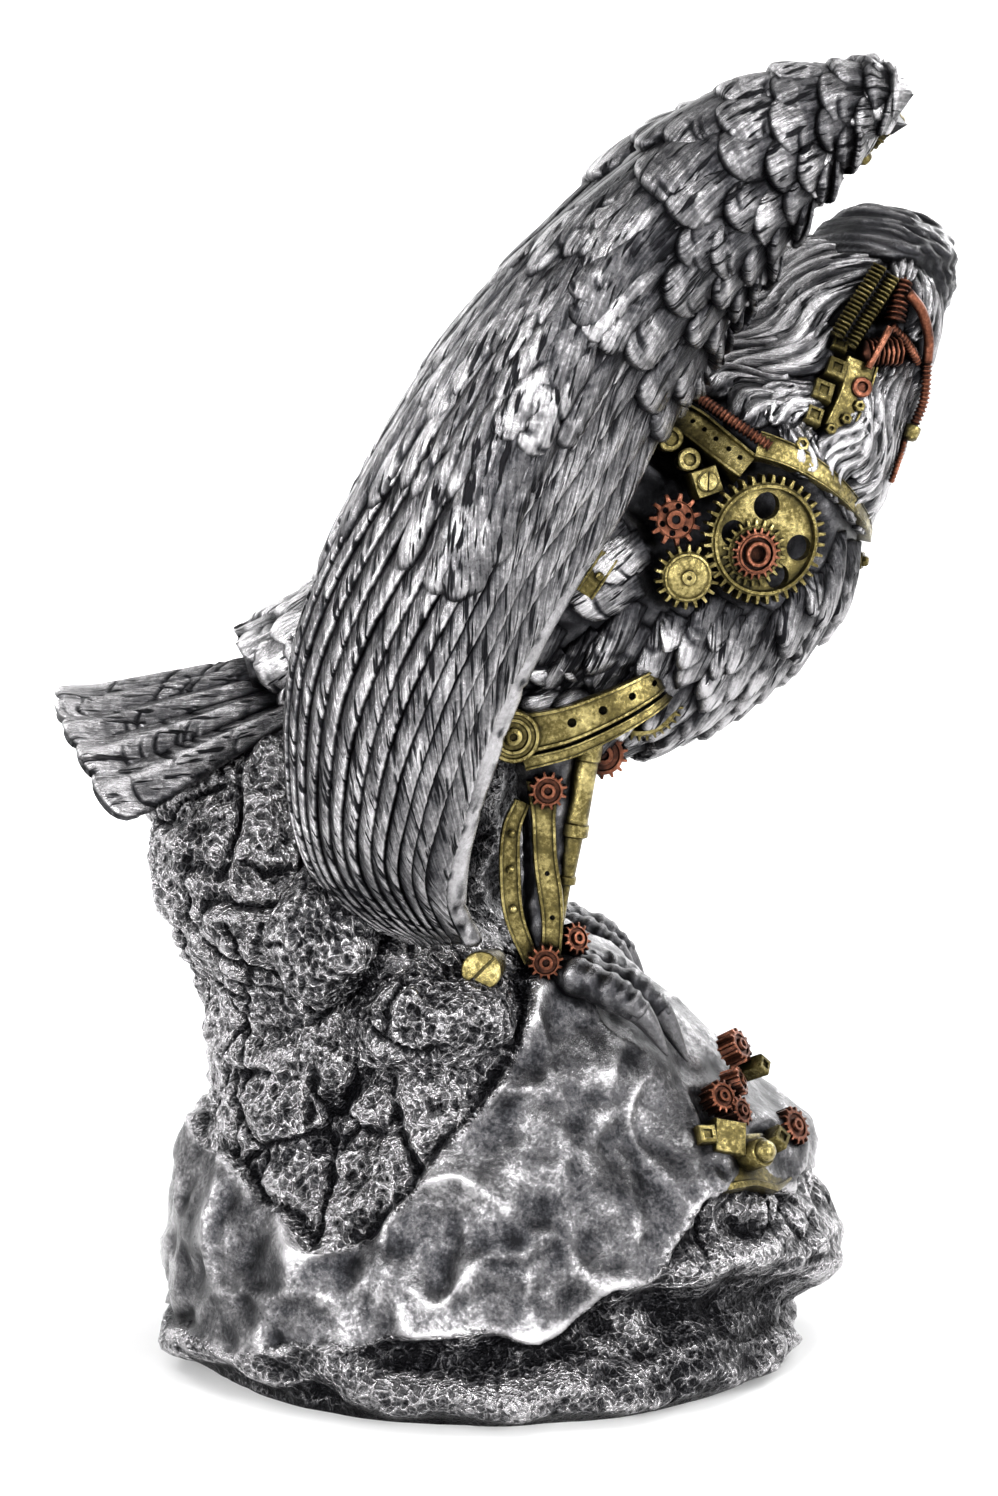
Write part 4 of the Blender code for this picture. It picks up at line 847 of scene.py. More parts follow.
def coverts(heap, sheet, rows, side, detail=1.0):
    """Overlapping rows of rounded feathers over the roots of the flight feathers, wider in front."""
    for row, (front_end, rear_end, count, rise, first, last) in enumerate(rows):
        for i in range(count + 1):
            share = (i + 0.5 * (row % 2)) / count
            if not first <= share <= last + 0.02:
                continue
            seed = 3.1 * row + 0.7 * i + side
            jitter = shuffled((seed, seed + 0.31, seed + 0.77), 2.0) - 0.5
            share = min(max(share + 0.03 * jitter[0], 0.0), 0.985)
            u = max(1 - (1 - share) ** 1.2, 0.075 if front_end > 0.1 else 0.0)
            tip = (front_end + (rear_end - front_end) * u) * (1 + 0.16 * jitter[1]) + 0.006 * jitter[2]
            root = max(0.0, tip * (0.38 + 0.1 * jitter[2]) - 0.01)
            place, _ = sheet.at(np.linspace(0, 1, 20), np.full(20, tip * 0.85))
            girth = np.linalg.norm(np.diff(place, axis=0), axis=1).sum()
            width = girth / count * 1.2 * (1 - share + 0.1) ** 0.2 * (1.05 + 0.3 * jitter[1])
            cut = covert_cut(sheet, u, root, tip, width, rise * (1 + 0.2 * jitter[2]), detail)
            start = (min(u + 0.02 * jitter[2], 0.98), root)
            lay_feather(heap, sheet, start, (min(u, 0.975), tip), cut, seed=seed)


def arm(heap, side, detail=1.0):
    """The rounded leading edge that carries the wing, under small scales."""
    share = np.linspace(0.0, 0.94, 9)
    inward = np.outer(1 - smooth_step(0.45, 0.9, share), (-4.2, 0.0, 2.4))
    path = wing_surface(share, np.full(9, 0.03)) + inward + np.array((-1.5, ARM_RADIUS * 0.72, -2.0))
    root = path[0] + np.array((-8.0, 14.0, -10.0))
    path = wing_to_side(np.vstack([root, path]), side)
    t = np.linspace(0, 1, 60)
    fine = along(path, t)
    size = np.interp(t, np.linspace(0, 1, len(ARM_TAPER)), ARM_RADIUS * np.array(ARM_TAPER))
    size = size * np.sqrt(np.clip(1 - smooth_step(0.965, 1.0, t) ** 2 * 0.93, 0, 1))
    rings = rings_along(fine, size, 36)
    heap.tube(rings, 0.2)
    sheet = Sheet(rings, centre=fine[:, None], wrap=True)
    rows, count = int(17 * detail + 2), int(8 * detail + 1)
    step = ARM_SCALED / rows
    for row in range(rows):
        for i in range(count):
            jitter = shuffled((row * 50 + i, row * 50 + i + 0.5), 6.0 + side) - 0.5
            across = (i + 0.5 * (row % 2) + 0.3 * jitter[0]) / count
            root = min(0.08 + step * (row + 0.4 * jitter[1]) + 0.05, 0.985)
            tip = (across + 0.03 * jitter[1], root - 1.7 * step)
            lay_feather(heap, sheet, (across, root), tip, ARM_CUT, seed=0.7 * row + 5.3 * i,
                        width=48.0 / count * (0.95 + 0.4 * jitter[0]))


def make_wing(side):
    """One wing. The left one, which the near one hides, has fewer steps."""
    word, detail, columns = ("right", 1.0, 11) if side < 0 else ("left", 0.7, 7)
    outer, inner = wing_sheets(side)
    heap = Heap()
    wing_web(heap, outer, rows=int(112 * detail), face=int(44 * detail))
    flight_feathers(heap, outer, FLIGHT_FEATHERS, int(170 * detail), columns)
    flight_feathers(heap, inner, INNER_FEATHERS, 80, 7, ridge=1.4, plain=0.7)
    heap.piece(f"{word}_wing", SILVER)
    heap = Heap()
    coverts(heap, outer, COVERT_ROWS, side, detail)
    coverts(heap, inner, INNER_COVERT_ROWS, side, 0.6)
    arm(heap, side, detail)
    heap.piece(f"{word}_coverts", SILVER)


# The eagle's body

# Sections from tail to crown: place in X and Z, half height, half width.
BODY_SECTIONS = (
    (-58.0, 160.0, 6.0, 14.0),
    (-38.0, 165.0, 13.0, 24.0),
    (-12.0, 173.0, 26.0, 34.0),
    (20.0, 181.0, 41.5, 39.0),
    (46.0, 195.0, 38.5, 40.0),
    (61.0, 212.0, 29.0, 35.0),
    (71.5, 226.0, 24.0, 29.0),
    (79.5, 238.5, 20.0, 23.5),
    (85.5, 248.0, 15.5, 19.0),
    (88.0, 255.0, 6.0, 9.0),
)
# Openings in the plumage over the clockwork: side, centre in X and Z, radius.
OPENINGS = (
    (-1, 54.8, 192.0, 15.5), (-1, 35.5, 195.5, 8.0), (-1, 37.0, 185.0, 8.5), (-1, 41.8, 204.0, 7.0),
    (-1, 36.0, 211.0, 6.5), (-1, 48.0, 209.0, 5.0), (-1, 67.5, 219.0, 4.0), (-1, 72.5, 226.5, 4.6),
    (-1, 77.0, 234.0, 5.6), (-1, 83.0, 243.0, 6.0), (-1, 29.5, 201.0, 6.0), (-1, 75.5, 222.0, 4.6),
    (-1, 83.0, 233.0, 5.0), (-1, 88.5, 243.0, 4.0), (-1, 91.0, 232.0, 3.0),
    (1, 54.2, 191.8, 13.5),
)


def body_grid(rows, columns):
    """Points of the smooth body, rows from tail to crown, columns round it from its back."""
    x, z, tall, wide = along(BODY_SECTIONS, np.linspace(0.0, 1.0, rows)).T
    slope_x, slope_z = np.gradient(x), np.gradient(z)
    size = np.hypot(slope_x, slope_z)
    up_x, up_z = -slope_z / size, slope_x / size
    around = np.linspace(0, 2 * math.pi, columns, endpoint=False)
    lift = np.cos(around)[None, :] * tall[:, None]
    return np.stack(
        [
            x[:, None] + up_x[:, None] * lift,
            np.sin(around)[None, :] * wide[:, None],
            z[:, None] + up_z[:, None] * lift,
        ],
        axis=2,
    )


def in_openings(points, margin=0.0):
    """How deep each point lies in an opening, in mm from its rim."""
    depth = np.full(points.shape[:-1], -99.0)
    for side, x, z, radius in OPENINGS:
        reach = radius + margin - np.hypot(points[..., 0] - x, points[..., 2] - z)
        depth = np.where(points[..., 1] * side > 0, np.maximum(depth, reach), depth)
    return depth


class Skin:
    """The smooth body's surface, asked for by its place in a side view."""

    def __init__(self, sheet):
        near = sheet.points[..., 1] < 0
        self.points, self.normals = sheet.points[near], sheet.normals[near]

    def at(self, x, z, side=-1, lift=0.0):
        """The point and normal of the skin seen at x, z from the side, -1 for the right one."""
        away = (self.points[:, 0] - x) ** 2 + (self.points[:, 2] - z) ** 2
        nearest = int(np.argmin(away + 0.02 * (self.points[:, 1] + 60)))
        normal = self.normals[nearest] * (1, -side, 1)
        point = np.array((x, -side * self.points[nearest, 1], z))
        return point + lift * normal, normal


def make_body_core(sheet):
    """The body under its plumage, let in and black behind the clockwork."""
    rows, columns = 110, 132
    around = np.linspace(0, 1, columns, endpoint=False)[None, :] * np.ones((rows, 1))
    length = np.linspace(0, 1, rows)[:, None] * np.ones((1, columns))
    points, normals = sheet.at(around, length)
    let_in = smooth_step(-0.5, 2.0, in_openings(points))
    height = 0.4 * roughness_at(points, 5.0, 1.0) - 5.0 * let_in
    heap = Heap()
    wash = np.clip(0.2 + 0.3 * roughness_at(points, 3.0, 2.0), 0, 1) * (1 - let_in)
    heap.tube(points + normals * height[..., None], wash, flip=sheet.flip)
    return heap.piece("body", SILVER)


BREAST_CUT = Plume(
    7.4, 4.2, 14, 9, dome=1.2, blunt=1.5, tip_share=0.8, edge=1.6, root_lift=0.0, slit_share=0.16, shine=0.34
)
BACK_CUT = Plume(
    12.0, 3.0, 17, 9, dome=1.1, blunt=1.7, tip_share=0.6, edge=1.3, root_lift=0.2, slit_share=0.13
)
THIGH_CUT = replace(BREAST_CUT, length_steps=11, width_steps=7)
# Zones of plumage: their middle and reach as shares of the way round, the gap between feathers in
# millimetres, the step between rows and the end of the zone as shares of the body, and the cut.
PLUMAGE_ZONES = (
    (0.5, 0.235, 6.2, 0.040, 0.62, BREAST_CUT),
    (0.0, 0.265, 10.5, 0.066, 0.56, BACK_CUT),
)
# Tiers of neck locks: where each starts on the body, its reach, and how many go round.
LOCK_TIERS = ((0.985, 0.20, 14), (0.91, 0.18, 17), (0.84, 0.155, 19), (0.775, 0.12, 20))
LOWEST_LOCK = 0.676


def make_body_plumage(sheet):
    """Rows of leaf-shaped feathers round the breast, belly and back, lying towards the tail."""
    heap = Heap()
    share = np.linspace(0, 1, 9)
    for zone, (middle, reach, gap, step, top, cut) in enumerate(PLUMAGE_ZONES):
        for row in range(int(top / step)):
            root_share = 0.10 + step * row
            ring, _ = sheet.at(np.linspace(0, 1, 60), np.full(60, root_share))
            girth = np.linalg.norm(np.diff(ring, axis=0), axis=1).sum()
            count = max(3, int(2 * reach * girth / gap))
            for i in range(count):
                seed = zone * 400 + 37 * row + i
                jitter = shuffled((seed, seed + 0.5), 3.0) - 0.5
                across = middle + reach * (2 * (i + 0.25 + 0.5 * (row % 2)) / count - 1) + 0.004 * jitter[0]
                root = np.array((across, root_share + 0.4 * step * jitter[1]))
                droop = 0.22 * (middle - across) * (zone == 0)
                fall = 1.75 * step * (1 + 0.35 * jitter[0])
                run = np.array((across + droop + 0.022 * jitter[1], root[1] - fall)) - root
                place, _ = sheet.at(root[0] + run[0] * share, root[1] + run[1] * share)
                inside = np.flatnonzero(in_openings(place, 0.5) > 0)
                if len(inside) and inside[-1] > 4:
                    continue
                start = root + run * share[inside[-1] + 1] if len(inside) else root
                width = cut.width * (1 + 0.3 * jitter[1])
                lay_feather(heap, sheet, start, root + run, cut, seed=0.37 * seed, width=width)
    return heap.piece("body_plumage", SILVER)


def longest_run(keep):
    """The first and last place of the longest stretch of True values."""
    edges = np.flatnonzero(np.diff(np.concatenate([[0], keep.astype(int), [0]])))
    best = int(np.argmax(edges[1::2] - edges[::2]))
    return edges[2 * best], edges[2 * best + 1] - 1


def make_neck_locks(sheet):
    """Long wavy locks that sweep down from the head and back over the shoulders, in strands."""
    heap = Heap()
    rows, columns = 38, 15
    s = np.linspace(0, 1, rows)[:, None]
    t = spread_share(columns)[None, :]
    for tier, (start, reach, count) in enumerate(LOCK_TIERS):
        ring, _ = sheet.at(np.linspace(0, 1, 40), np.full(40, start - reach / 2))
        girth = np.linalg.norm(np.diff(ring, axis=0), axis=1).sum()
        for i in range(count):
            seed = 61 * tier + i
            jitter = shuffled((seed, seed + 0.3, seed + 0.6), 5.0) - 0.5
            centre = (i + 0.5 * (tier % 2) + 0.3 * jitter[0]) / count % 1.0
            back = max(centre, 1 - centre)
            lean = np.sign(centre - 0.5) * (0.17 - 0.03 * tier) * smooth_step(0.68, 0.82, back)
            lean = lean * (1 - 0.6 * smooth_step(0.9, 1.0, back))
            top = start + 0.03 * jitter[1]
            low = max(start - reach * (1 + 0.3 * jitter[2]), LOWEST_LOCK + 0.012 * jitter[0])
            turns = 1.25 * s + 0.35 * tier + 2.0 * centre + 0.12 * jitter[1]
            wave = (0.015 + 0.01 * jitter[2]) * np.sin(2 * math.pi * turns)
            middle = centre + lean * s**1.1 + wave
            length = top + (low - top) * s
            keep = in_openings(sheet.at(middle[:, 0], length[:, 0])[0], -0.5) <= 0
            if not keep.any():
                continue
            first, last = longest_run(keep)
            if last - first < 0.25 * rows:
                continue
            span = np.linspace(first, last, rows)
            middle = np.interp(span, np.arange(rows), middle[:, 0])[:, None]
            length = np.interp(span, np.arange(rows), length[:, 0])[:, None]
            half = 0.72 * girth / count * np.sin(math.pi * (0.10 + 0.87 * s)) ** 0.6
            across = middle + half * t / girth
            phase = 1.9 * np.sin((4 + 3 * jitter[1]) * s + 2 * seed)
            strands = np.abs(np.cos((1.7 + 1.1 * jitter[0]) * math.pi * t + phase))
            hairs = np.cos(t * half * 2 * math.pi / 0.95 + 2.2 * np.sin(5 * s + seed))
            dome = 1.0 - np.abs(t) ** 2.2
            lift = (0.8 + 2.2 * smooth_step(0.0, 0.5, s)) * (1 - 0.45 * smooth_step(0.7, 1.0, s))
            height = lift * (0.35 + 0.65 * dome) + 1.5 * (strands - 0.5) * dome + 0.10 * hairs
            wash = 0.09 + 0.20 * dome + 0.53 * strands**1.7 + 0.06 * hairs + 0.2 * jitter[1]
            grain = grain_of(half * t, 250.0 * reach * s, seed)
            sheet.lay(heap, across, length * np.ones_like(t), height, np.clip(wash, 0, 1), 1.2, grain)
    return heap.piece("neck_locks", SILVER)


# The head, turned to the eagle's left

HEAD_CENTRE = (87.5, 3.0, 248.3)
HEAD_RADII = (20.0, 17.5, 15.5)
HEAD_TURN = math.radians(68.0)
HEAD_RIM = 251.5
# Lines and sizes of the face along the head's own directions: forward, to the side and up.
BROW_LINE = ((0, 14.5, 8.0), (8, 13.4, 9.0), (15, 10.2, 6.8), (20, 6.0, 2.8))
BEAK_LINE = ((11, -1.0), (20, 0.8), (27, -0.4), (32.0, -4.5), (34.0, -10.5), (33.2, -14.6))
BEAK_RADII = (8.8, 7.8, 6.3, 4.5, 2.4, 0.35)
JAW_LINE = ((11, -8.0), (20, -8.6), (28.0, -9.2))


def head_place(forward, side, up):
    """A point given along the head's own directions."""
    c, s = math.cos(HEAD_TURN), math.sin(HEAD_TURN)
    x, y, z = HEAD_CENTRE
    return np.stack([x + forward * c - side * s, y + forward * s + side * c, z + up], axis=-1)


def head_sheet():
    """The bare head, rows from the root of its beak to its nape, columns round it from its crown."""
    polar = np.linspace(0.03, 0.985, 120)[:, None] * math.pi
    around = np.linspace(0, 2 * math.pi, 160, endpoint=False)[None, :]
    forward = np.cos(polar) * np.ones_like(around) * HEAD_RADII[0]
    side = np.sin(polar) * np.sin(around) * HEAD_RADII[1]
    up = np.sin(polar) * np.cos(around) * HEAD_RADII[2]
    crown = hump(forward - 8, 11) * hump(side, 10) * (up > 0)
    brow = hump(forward - 11, 7.5) * hump(np.abs(side) - 11.5, 4.0) * hump(up - 8.0, 3.0)
    socket = hump(forward - 14.5, 4.2) * hump(np.abs(side) - 10.0, 4.6) * hump(up - 2.0, 3.4)
    cheek = hump(forward - 7, 7) * hump(np.abs(side) - 13, 6) * hump(up + 5, 5)
    scale = 1 + (2.0 * crown + 3.2 * brow - 2.6 * socket + 0.9 * cheek) / 15.0
    points = head_place(forward * scale, side * scale, up * scale)
    return Sheet(points, centre=np.array(HEAD_CENTRE), wrap=True)


def make_head():
    """The head, smooth under fine soft strokes, with a rim that hangs over the open works of the neck."""
    sheet = head_sheet()
    rows, columns = 100, 152
    across = np.linspace(0, 1, columns, endpoint=False)[None, :] * np.ones((rows, 1))
    down = np.linspace(0, 1, rows)[:, None] * np.ones((1, columns))
    points, normals = sheet.at(across, down)
    warp = 1.5 * roughness_at(points, 9.0, 3.0)
    x, z = points[..., 0] + 1.5 * points[..., 1], points[..., 2]
    around, back = 0.9 * z + 0.25 * x + warp, 0.7 * x - 0.4 * z
    strokes = roughness_at(np.stack([around / 1.9, back / 4.2, 0 * back], axis=-1), 1.0, 2.0)
    fine = roughness_at(np.stack([around / 0.9, back / 4.5, 0 * back], axis=-1), 1.0, 5.0)
    cap = smooth_step(HEAD_RIM - 1.2, HEAD_RIM + 1.2, z) * smooth_step(-4.0, 4.0, -points[..., 1])
    height = 1.1 * strokes + 0.5 * fine + 0.5 * warp + 2.0 * cap - 0.8 * smooth_step(258, 264, z)
    # Painted shadow: a dark band just below the rim, where the rim overhangs
    wash = 0.10 + 0.6 * strokes + 0.4 * fine - 0.35 * hump(z - HEAD_RIM + 2.5, 2.5)
    heap = Heap()
    heap.tube(points + normals * height[..., None], np.clip(wash, 0, 1), flip=sheet.flip)
    heap.piece("head", SILVER)
    make_face()


def make_face():
    """Brows, eyes and the hooked beak."""
    t = np.linspace(0, 1, 40)
    for side, word in SIDES:
        brow = along([head_place(x, side * y, z) for x, y, z in BROW_LINE], t)
        radii = np.interp(t, (0, 0.4, 0.8, 1), (0.9, 2.6, 2.2, 1.0)) * (1 + 0.10 * np.sin(t * 60))
        rod(f"{word}_brow", brow, radii, SILVER, sides=14, wash=0.7)
        axis = head_place(0.55, side * 0.82, 0.05) - np.array(HEAD_CENTRE)
        eye = head_place(12.4, side * 9.2, 2.8)
        turned(f"{word}_eyelid", eye, axis, (
            (4.3, -3.0), (4.3, 0.6), (3.9, 1.3), (3.2, 1.3), (2.9, 0.4)), SILVER, sides=32)
        turned(f"{word}_eye", eye, axis, (
            (2.9, -2.0), (2.9, 0.6), (2.4, 1.5), (1.7, 2.1), (1.3, 2.25), (1.2, 1.9), (0.9, 1.9), (0.3, 2.3)),
            BRASS, sides=32)
    path = along([head_place(x, 0, z) for x, z in BEAK_LINE], t)
    size = np.interp(t, np.linspace(0, 1, len(BEAK_RADII)), BEAK_RADII)
    size = size * (1 + 0.10 * hump(t - 0.24, 0.05))
    rings = rings_along(path, size, 32, flat=1.18)
    rings = rings + (rings - path[:, None]) * (0.03 * roughness_at(rings, 3.0, 1.0))[..., None]
    heap = Heap()
    heap.tube(rings, 0.66)
    heap.piece("upper_beak", SILVER)
    jaw = along([head_place(x, 0, z) for x, z in JAW_LINE], t)
    rod("lower_beak", jaw, np.interp(t, (0, 0.5, 1), (5.8, 4.3, 1.2)), SILVER, sides=24, flat=0.6, wash=0.55)
    for side, word in SIDES:
        nostril = head_place(23.5, side * 5.3, 1.6)
        axis = head_place(0.2, side * 0.95, 0.2) - np.array(HEAD_CENTRE)
        turned(f"{word}_nostril", nostril, axis, (
            (1.5, -1.0), (1.5, 0.45), (1.1, 0.6), (0.8, 0.2), (0.4, -0.2)), DARK, sides=18)


# The tail

TAIL_FEATHERS = 9
TAIL_UNDER = 4
TAIL_ARCH = 20.0


def tail_surface(u, v):
    """Points of the arched fan. u runs across it from -1 to 1, v from its root to its end."""
    x = -38.0 - 66.0 * v * (1 - 0.22 * u**2)
    y = u * (11.0 + 27.0 * v)
    z = 161.5 - 11.5 * v - TAIL_ARCH * np.abs(u) ** 1.7 * (0.35 + 0.65 * v)
    return np.stack([x, y, z], axis=-1)


def make_tail():
    """Long blunt feathers whose ends curl up a little, the middle one on top, over four wider ones."""
    heap = Heap()
    rows, columns, thick = 64, 11, 3.2
    s = 1 - (1 - np.linspace(0, 1, rows)[:, None]) ** 1.15
    t = spread_share(columns)[None, :]
    for i in range(TAIL_FEATHERS + TAIL_UNDER):
        under = i >= TAIL_FEATHERS
        share = -0.75 + 0.5 * (i - TAIL_FEATHERS) if under else (2 * i + 1) / TAIL_FEATHERS - 1
        half = (0.16 if under else 0.115) * (0.75 + 0.45 * s)
        ribs, slits = barb_rows(rows, t[0], 1.9 * i, 0.10, 0.5)
        u = share + half * 1.16 * (t + 0.08 * ribs * np.sign(t) * t**4)
        ending = 1 - 0.085 * (1 - np.sqrt(np.clip(1 - np.abs(t) ** 2.6, 0, 1)))
        ending = ending + 0.02 * (shuffled(i, 9.0) - 0.5)
        v = (s + 0.35 * np.abs(t) * s * (1 - s)) * ending * (0.86 if under else 0.97)
        place = tail_surface(u, v)
        normal = np.cross(tail_surface(u, v + 0.01) - place, tail_surface(u + 0.01, v) - place)
        normal /= np.linalg.norm(normal, axis=2, keepdims=True)
        normal *= np.sign(normal[..., 2:3])
        slits = slits * smooth_step(0.2, 0.5, s) * (1 - smooth_step(0.93, 1.0, s))
        rise = 2.4 - 1.6 * abs(share) - (4.6 if under else 0.0) + 1.5 * smooth_step(0.78, 1.0, s) ** 2
        shaft = hump(t * 4.3, 0.55)
        edge = 1.3 * (1 - np.sqrt(1 - np.maximum(np.abs(t) ** 9, s**22)))
        fine = 0.14 * ribs + 0.55 * shaft
        top = place + normal * (rise + 1.2 * (1 - t**2) + fine - 0.7 * slits - edge)[..., None]
        low = place + normal * (rise - thick + 0.5 * edge + 0.2 * np.abs(t))[..., None]
        ring = np.concatenate([top, low[:, ::-1]], axis=1)
        first = ring[:1] * 0 + ring[:1].mean(axis=1, keepdims=True)
        last = (ring[-1:] + ring[-1:].mean(axis=1, keepdims=True)) / 2
        wash = 0.44 + 0.2 * ribs + 0.3 * shaft - 0.7 * slits - 0.3 * (edge > 0.8)
        wash = wash + 0.2 * smooth_step(0.8, 0.97, s)
        wash = np.concatenate([wash, np.full_like(wash, 0.35)], axis=1)
        grain = vane_grain(*np.broadcast_arrays(64.0 * v, half * t * 38.0), i)
        grain = np.concatenate([grain, grain[:, ::-1]], axis=1)
        heap.tube(np.concatenate([first, ring, last]), with_ends(np.clip(wash, 0, 1)), flip=True,
                  grain=with_ends(grain))
    heap.piece("tail", SILVER)


# The crag: its left end, right end and half depth at each height.

CRAG_LEVELS = (
    (0.0, -72.5, 66.0, 65.5), (4.0, -74.5, 70.0, 67.5), (17.0, -76.5, 74.0, 67.0),
    (32.0, -75.5, 75.5, 64.0), (42.0, -73.0, 73.0, 61.0), (50.0, -71.5, 71.0, 58.0),
    (61.0, -69.5, 57.5, 54.0), (70.0, -68.0, 49.0, 51.0), (80.0, -67.0, 39.5, 48.0),
    (89.0, -69.0, 28.5, 47.0), (96.0, -72.5, 14.0, 47.0), (103.0, -76.0, -3.0, 46.5),
    (108.0, -79.0, -12.0, 41.0), (116.0, -80.5, -20.0, 33.0), (127.0, -80.5, -28.0, 28.0),
    (138.0, -77.0, -34.0, 23.0), (146.0, -69.0, -40.0, 18.0), (151.0, -60.0, -48.0, 9.0),
)
CRAG_SQUARENESS = 2.08
LEDGE_DEPTH = 3.6
MELT_THICKNESS = 2.6
# The upper and lower end of the melt, as (X, height).
MELT_TOP = (
    (-80, 42), (-72, 55), (-60, 47), (-45, 37), (-33, 40), (-22, 55), (-12, 64), (0, 80), (12, 120), (80, 120)
)
MELT_FOOT = ((-80, 8), (-60, 12), (-30, 20), (0, 21), (22, 27), (34, 38), (46, 47), (60, 44), (80, 40))
CRAG_CENTRE = np.array((-5.0, 0.0, 0.0))
CRAG_SEAM = 0.012
# The crag's halves: rows, columns, and the angles round it where each starts and ends.
CRAG_HALVES = (
    ("crag_front", 208, 262, math.pi, 2 * math.pi),
    ("crag_back", 120, 130, -CRAG_SEAM, math.pi + CRAG_SEAM),
)
# Outcrops: centre, radii, rows and columns.
OUTCROPS = (
    ("right_knob", (-42.0, -42.0, 105.0), (12.5, 11.5, 16.5), 70, 92),
    ("left_knob", (-42.0, 42.0, 104.0), (12.5, 10.5, 16.5), 50, 64),
    ("right_shelf", (-18.5, -42.0, 86.5), (20.0, 14.5, 14.5), 84, 96),
    ("left_shelf", (-16.0, 42.0, 92.0), (21.5, 13.5, 14.5), 50, 60),
)
PILLAR_LINE = ((-22, 0, 88), (-18, 0, 110), (-14, 0, 132), (-8, 0, 160))


def crag_heights(rows):
    """Heights of the rows, closer together where the crag slopes gently."""
    levels = np.array(CRAG_LEVELS)
    fine = np.linspace(0, levels[-1, 0], 600)
    right = np.interp(fine, levels[:, 0], levels[:, 2])
    steps = np.hypot(np.diff(fine), 0.55 * np.diff(right))
    run = np.concatenate([[0.0], np.cumsum(steps)])
    return np.interp(np.linspace(0, run[-1], rows), run, fine)


def crag_grid(rows, columns, start, end):
    """Points of the bare crag between two angles round it."""
    height = crag_heights(rows)
    levels = np.array(CRAG_LEVELS)
    left, right, deep = (np.interp(height, levels[:, 0], levels[:, c]) for c in (1, 2, 3))
    around = np.linspace(start, end, columns)
    power = 2 / CRAG_SQUARENESS
    c = np.sign(np.cos(around)) * np.abs(np.cos(around)) ** power
    s = np.sign(np.sin(around)) * np.abs(np.sin(around)) ** power
    x = ((left + right) / 2)[:, None] + ((right - left) / 2)[:, None] * c
    return np.stack([x, deep[:, None] * s, height[:, None] * np.ones(columns)], axis=2)


def melt_cover(points):
    """1 where the smooth melt covers the stone, 0 where the stone is bare."""
    x, z = points[..., 0], points[..., 2]
    top = np.interp(x, *zip(*MELT_TOP))
    foot = np.interp(x, *zip(*MELT_FOOT))
    wave = 6.0 * roughness_at(points, 13.0, 21.0)
    top, foot = top + wave, foot - wave
    edge = 1.3
    return smooth_step(-edge, edge, top - z) * smooth_step(-edge, edge, z - foot)


def ridged(points, size, seed, sharp=2.6):
    """Noise with sharp crests: 1 on them, falling to 0 between."""
    return 1 - np.clip(np.abs(roughness_at(points, size, seed)) * sharp, 0, 1)


def warped(points, reach, size):
    """Points pushed about by smooth noise."""
    return points + reach * np.stack([roughness_at(points, size, s) for s in (1.0, 2.0, 3.0)], axis=-1)


def stone_relief(points):
    """Crumbled stone: facets parted by cracks, under sharp crests and pits."""
    moved = warped(points, 2.0, 7.0)
    lumps = cells_at(moved, 19.0, 6.0)[1]
    crests = 0.6 * ridged(moved, 3.6, 5.0) ** 2 + 0.4 * ridged(moved, 1.9, 6.0)
    pits = hump(cells_at(moved, 3.0, 2.0)[0], 0.26)
    facets = 3.0 * roughness_at(points, 12.0, 9.0) + 1.2 * np.minimum(lumps, 0.5)
    cracks = hump(lumps, 0.05) * smooth_step(-0.1, 0.3, roughness_at(points, 24.0, 14.0))
    return crests + facets - 1.9 * cracks - 0.9 * pits


def melt_relief(points):
    """Soft swells and dents with a few rounded rims, as the melt ran down."""
    moved = warped(points * (1, 1, 0.75), 5.0, 16.0)
    swells = 2.4 * roughness_at(moved, 12.0, 12.0) + 1.1 * roughness_at(moved, 5.5, 15.0)
    rims = ridged(moved, 21.0, 17.0, 3.0) ** 2
    return swells + 2.0 * rims + 0.25 * roughness_at(points, 2.6, 8.0)


def crag_relief(points):
    z = points[..., 2]
    big = roughness_at(points * (1, 1, 0.75), 26.0, 3.0)
    small = roughness_at(points * (1, 1, 1.6), 9.0, 7.0)
    cracks = np.sin((z + 0.09 * points[..., 0]) / 4.4 + 2.6 * big)
    low = 1 - smooth_step(28, 42, z)
    ledges = LEDGE_DEPTH * cracks * low + 1.1 * low * np.sign(cracks) * np.abs(cracks) ** 0.3
    gullies = hump(roughness_at(points * (1, 1, 0.35), 15.0, 31.0), 0.06) * (1 - low)
    melt = melt_cover(points)
    coarse_stone = 4.6 * big + 2.3 * small + ledges - 2.6 * gullies
    coarse_melt = MELT_THICKNESS + 3.0 * roughness_at(points, 17.0, 11.0)
    rim = hump(melt - 0.5, 0.33) * 0.9
    coarse = coarse_stone * (1 - melt) + coarse_melt * melt + rim
    fine = stone_relief(points) * (1 - melt) * (0.5 + 0.5 * (1 - low)) + melt_relief(points) * melt
    return coarse, fine, melt


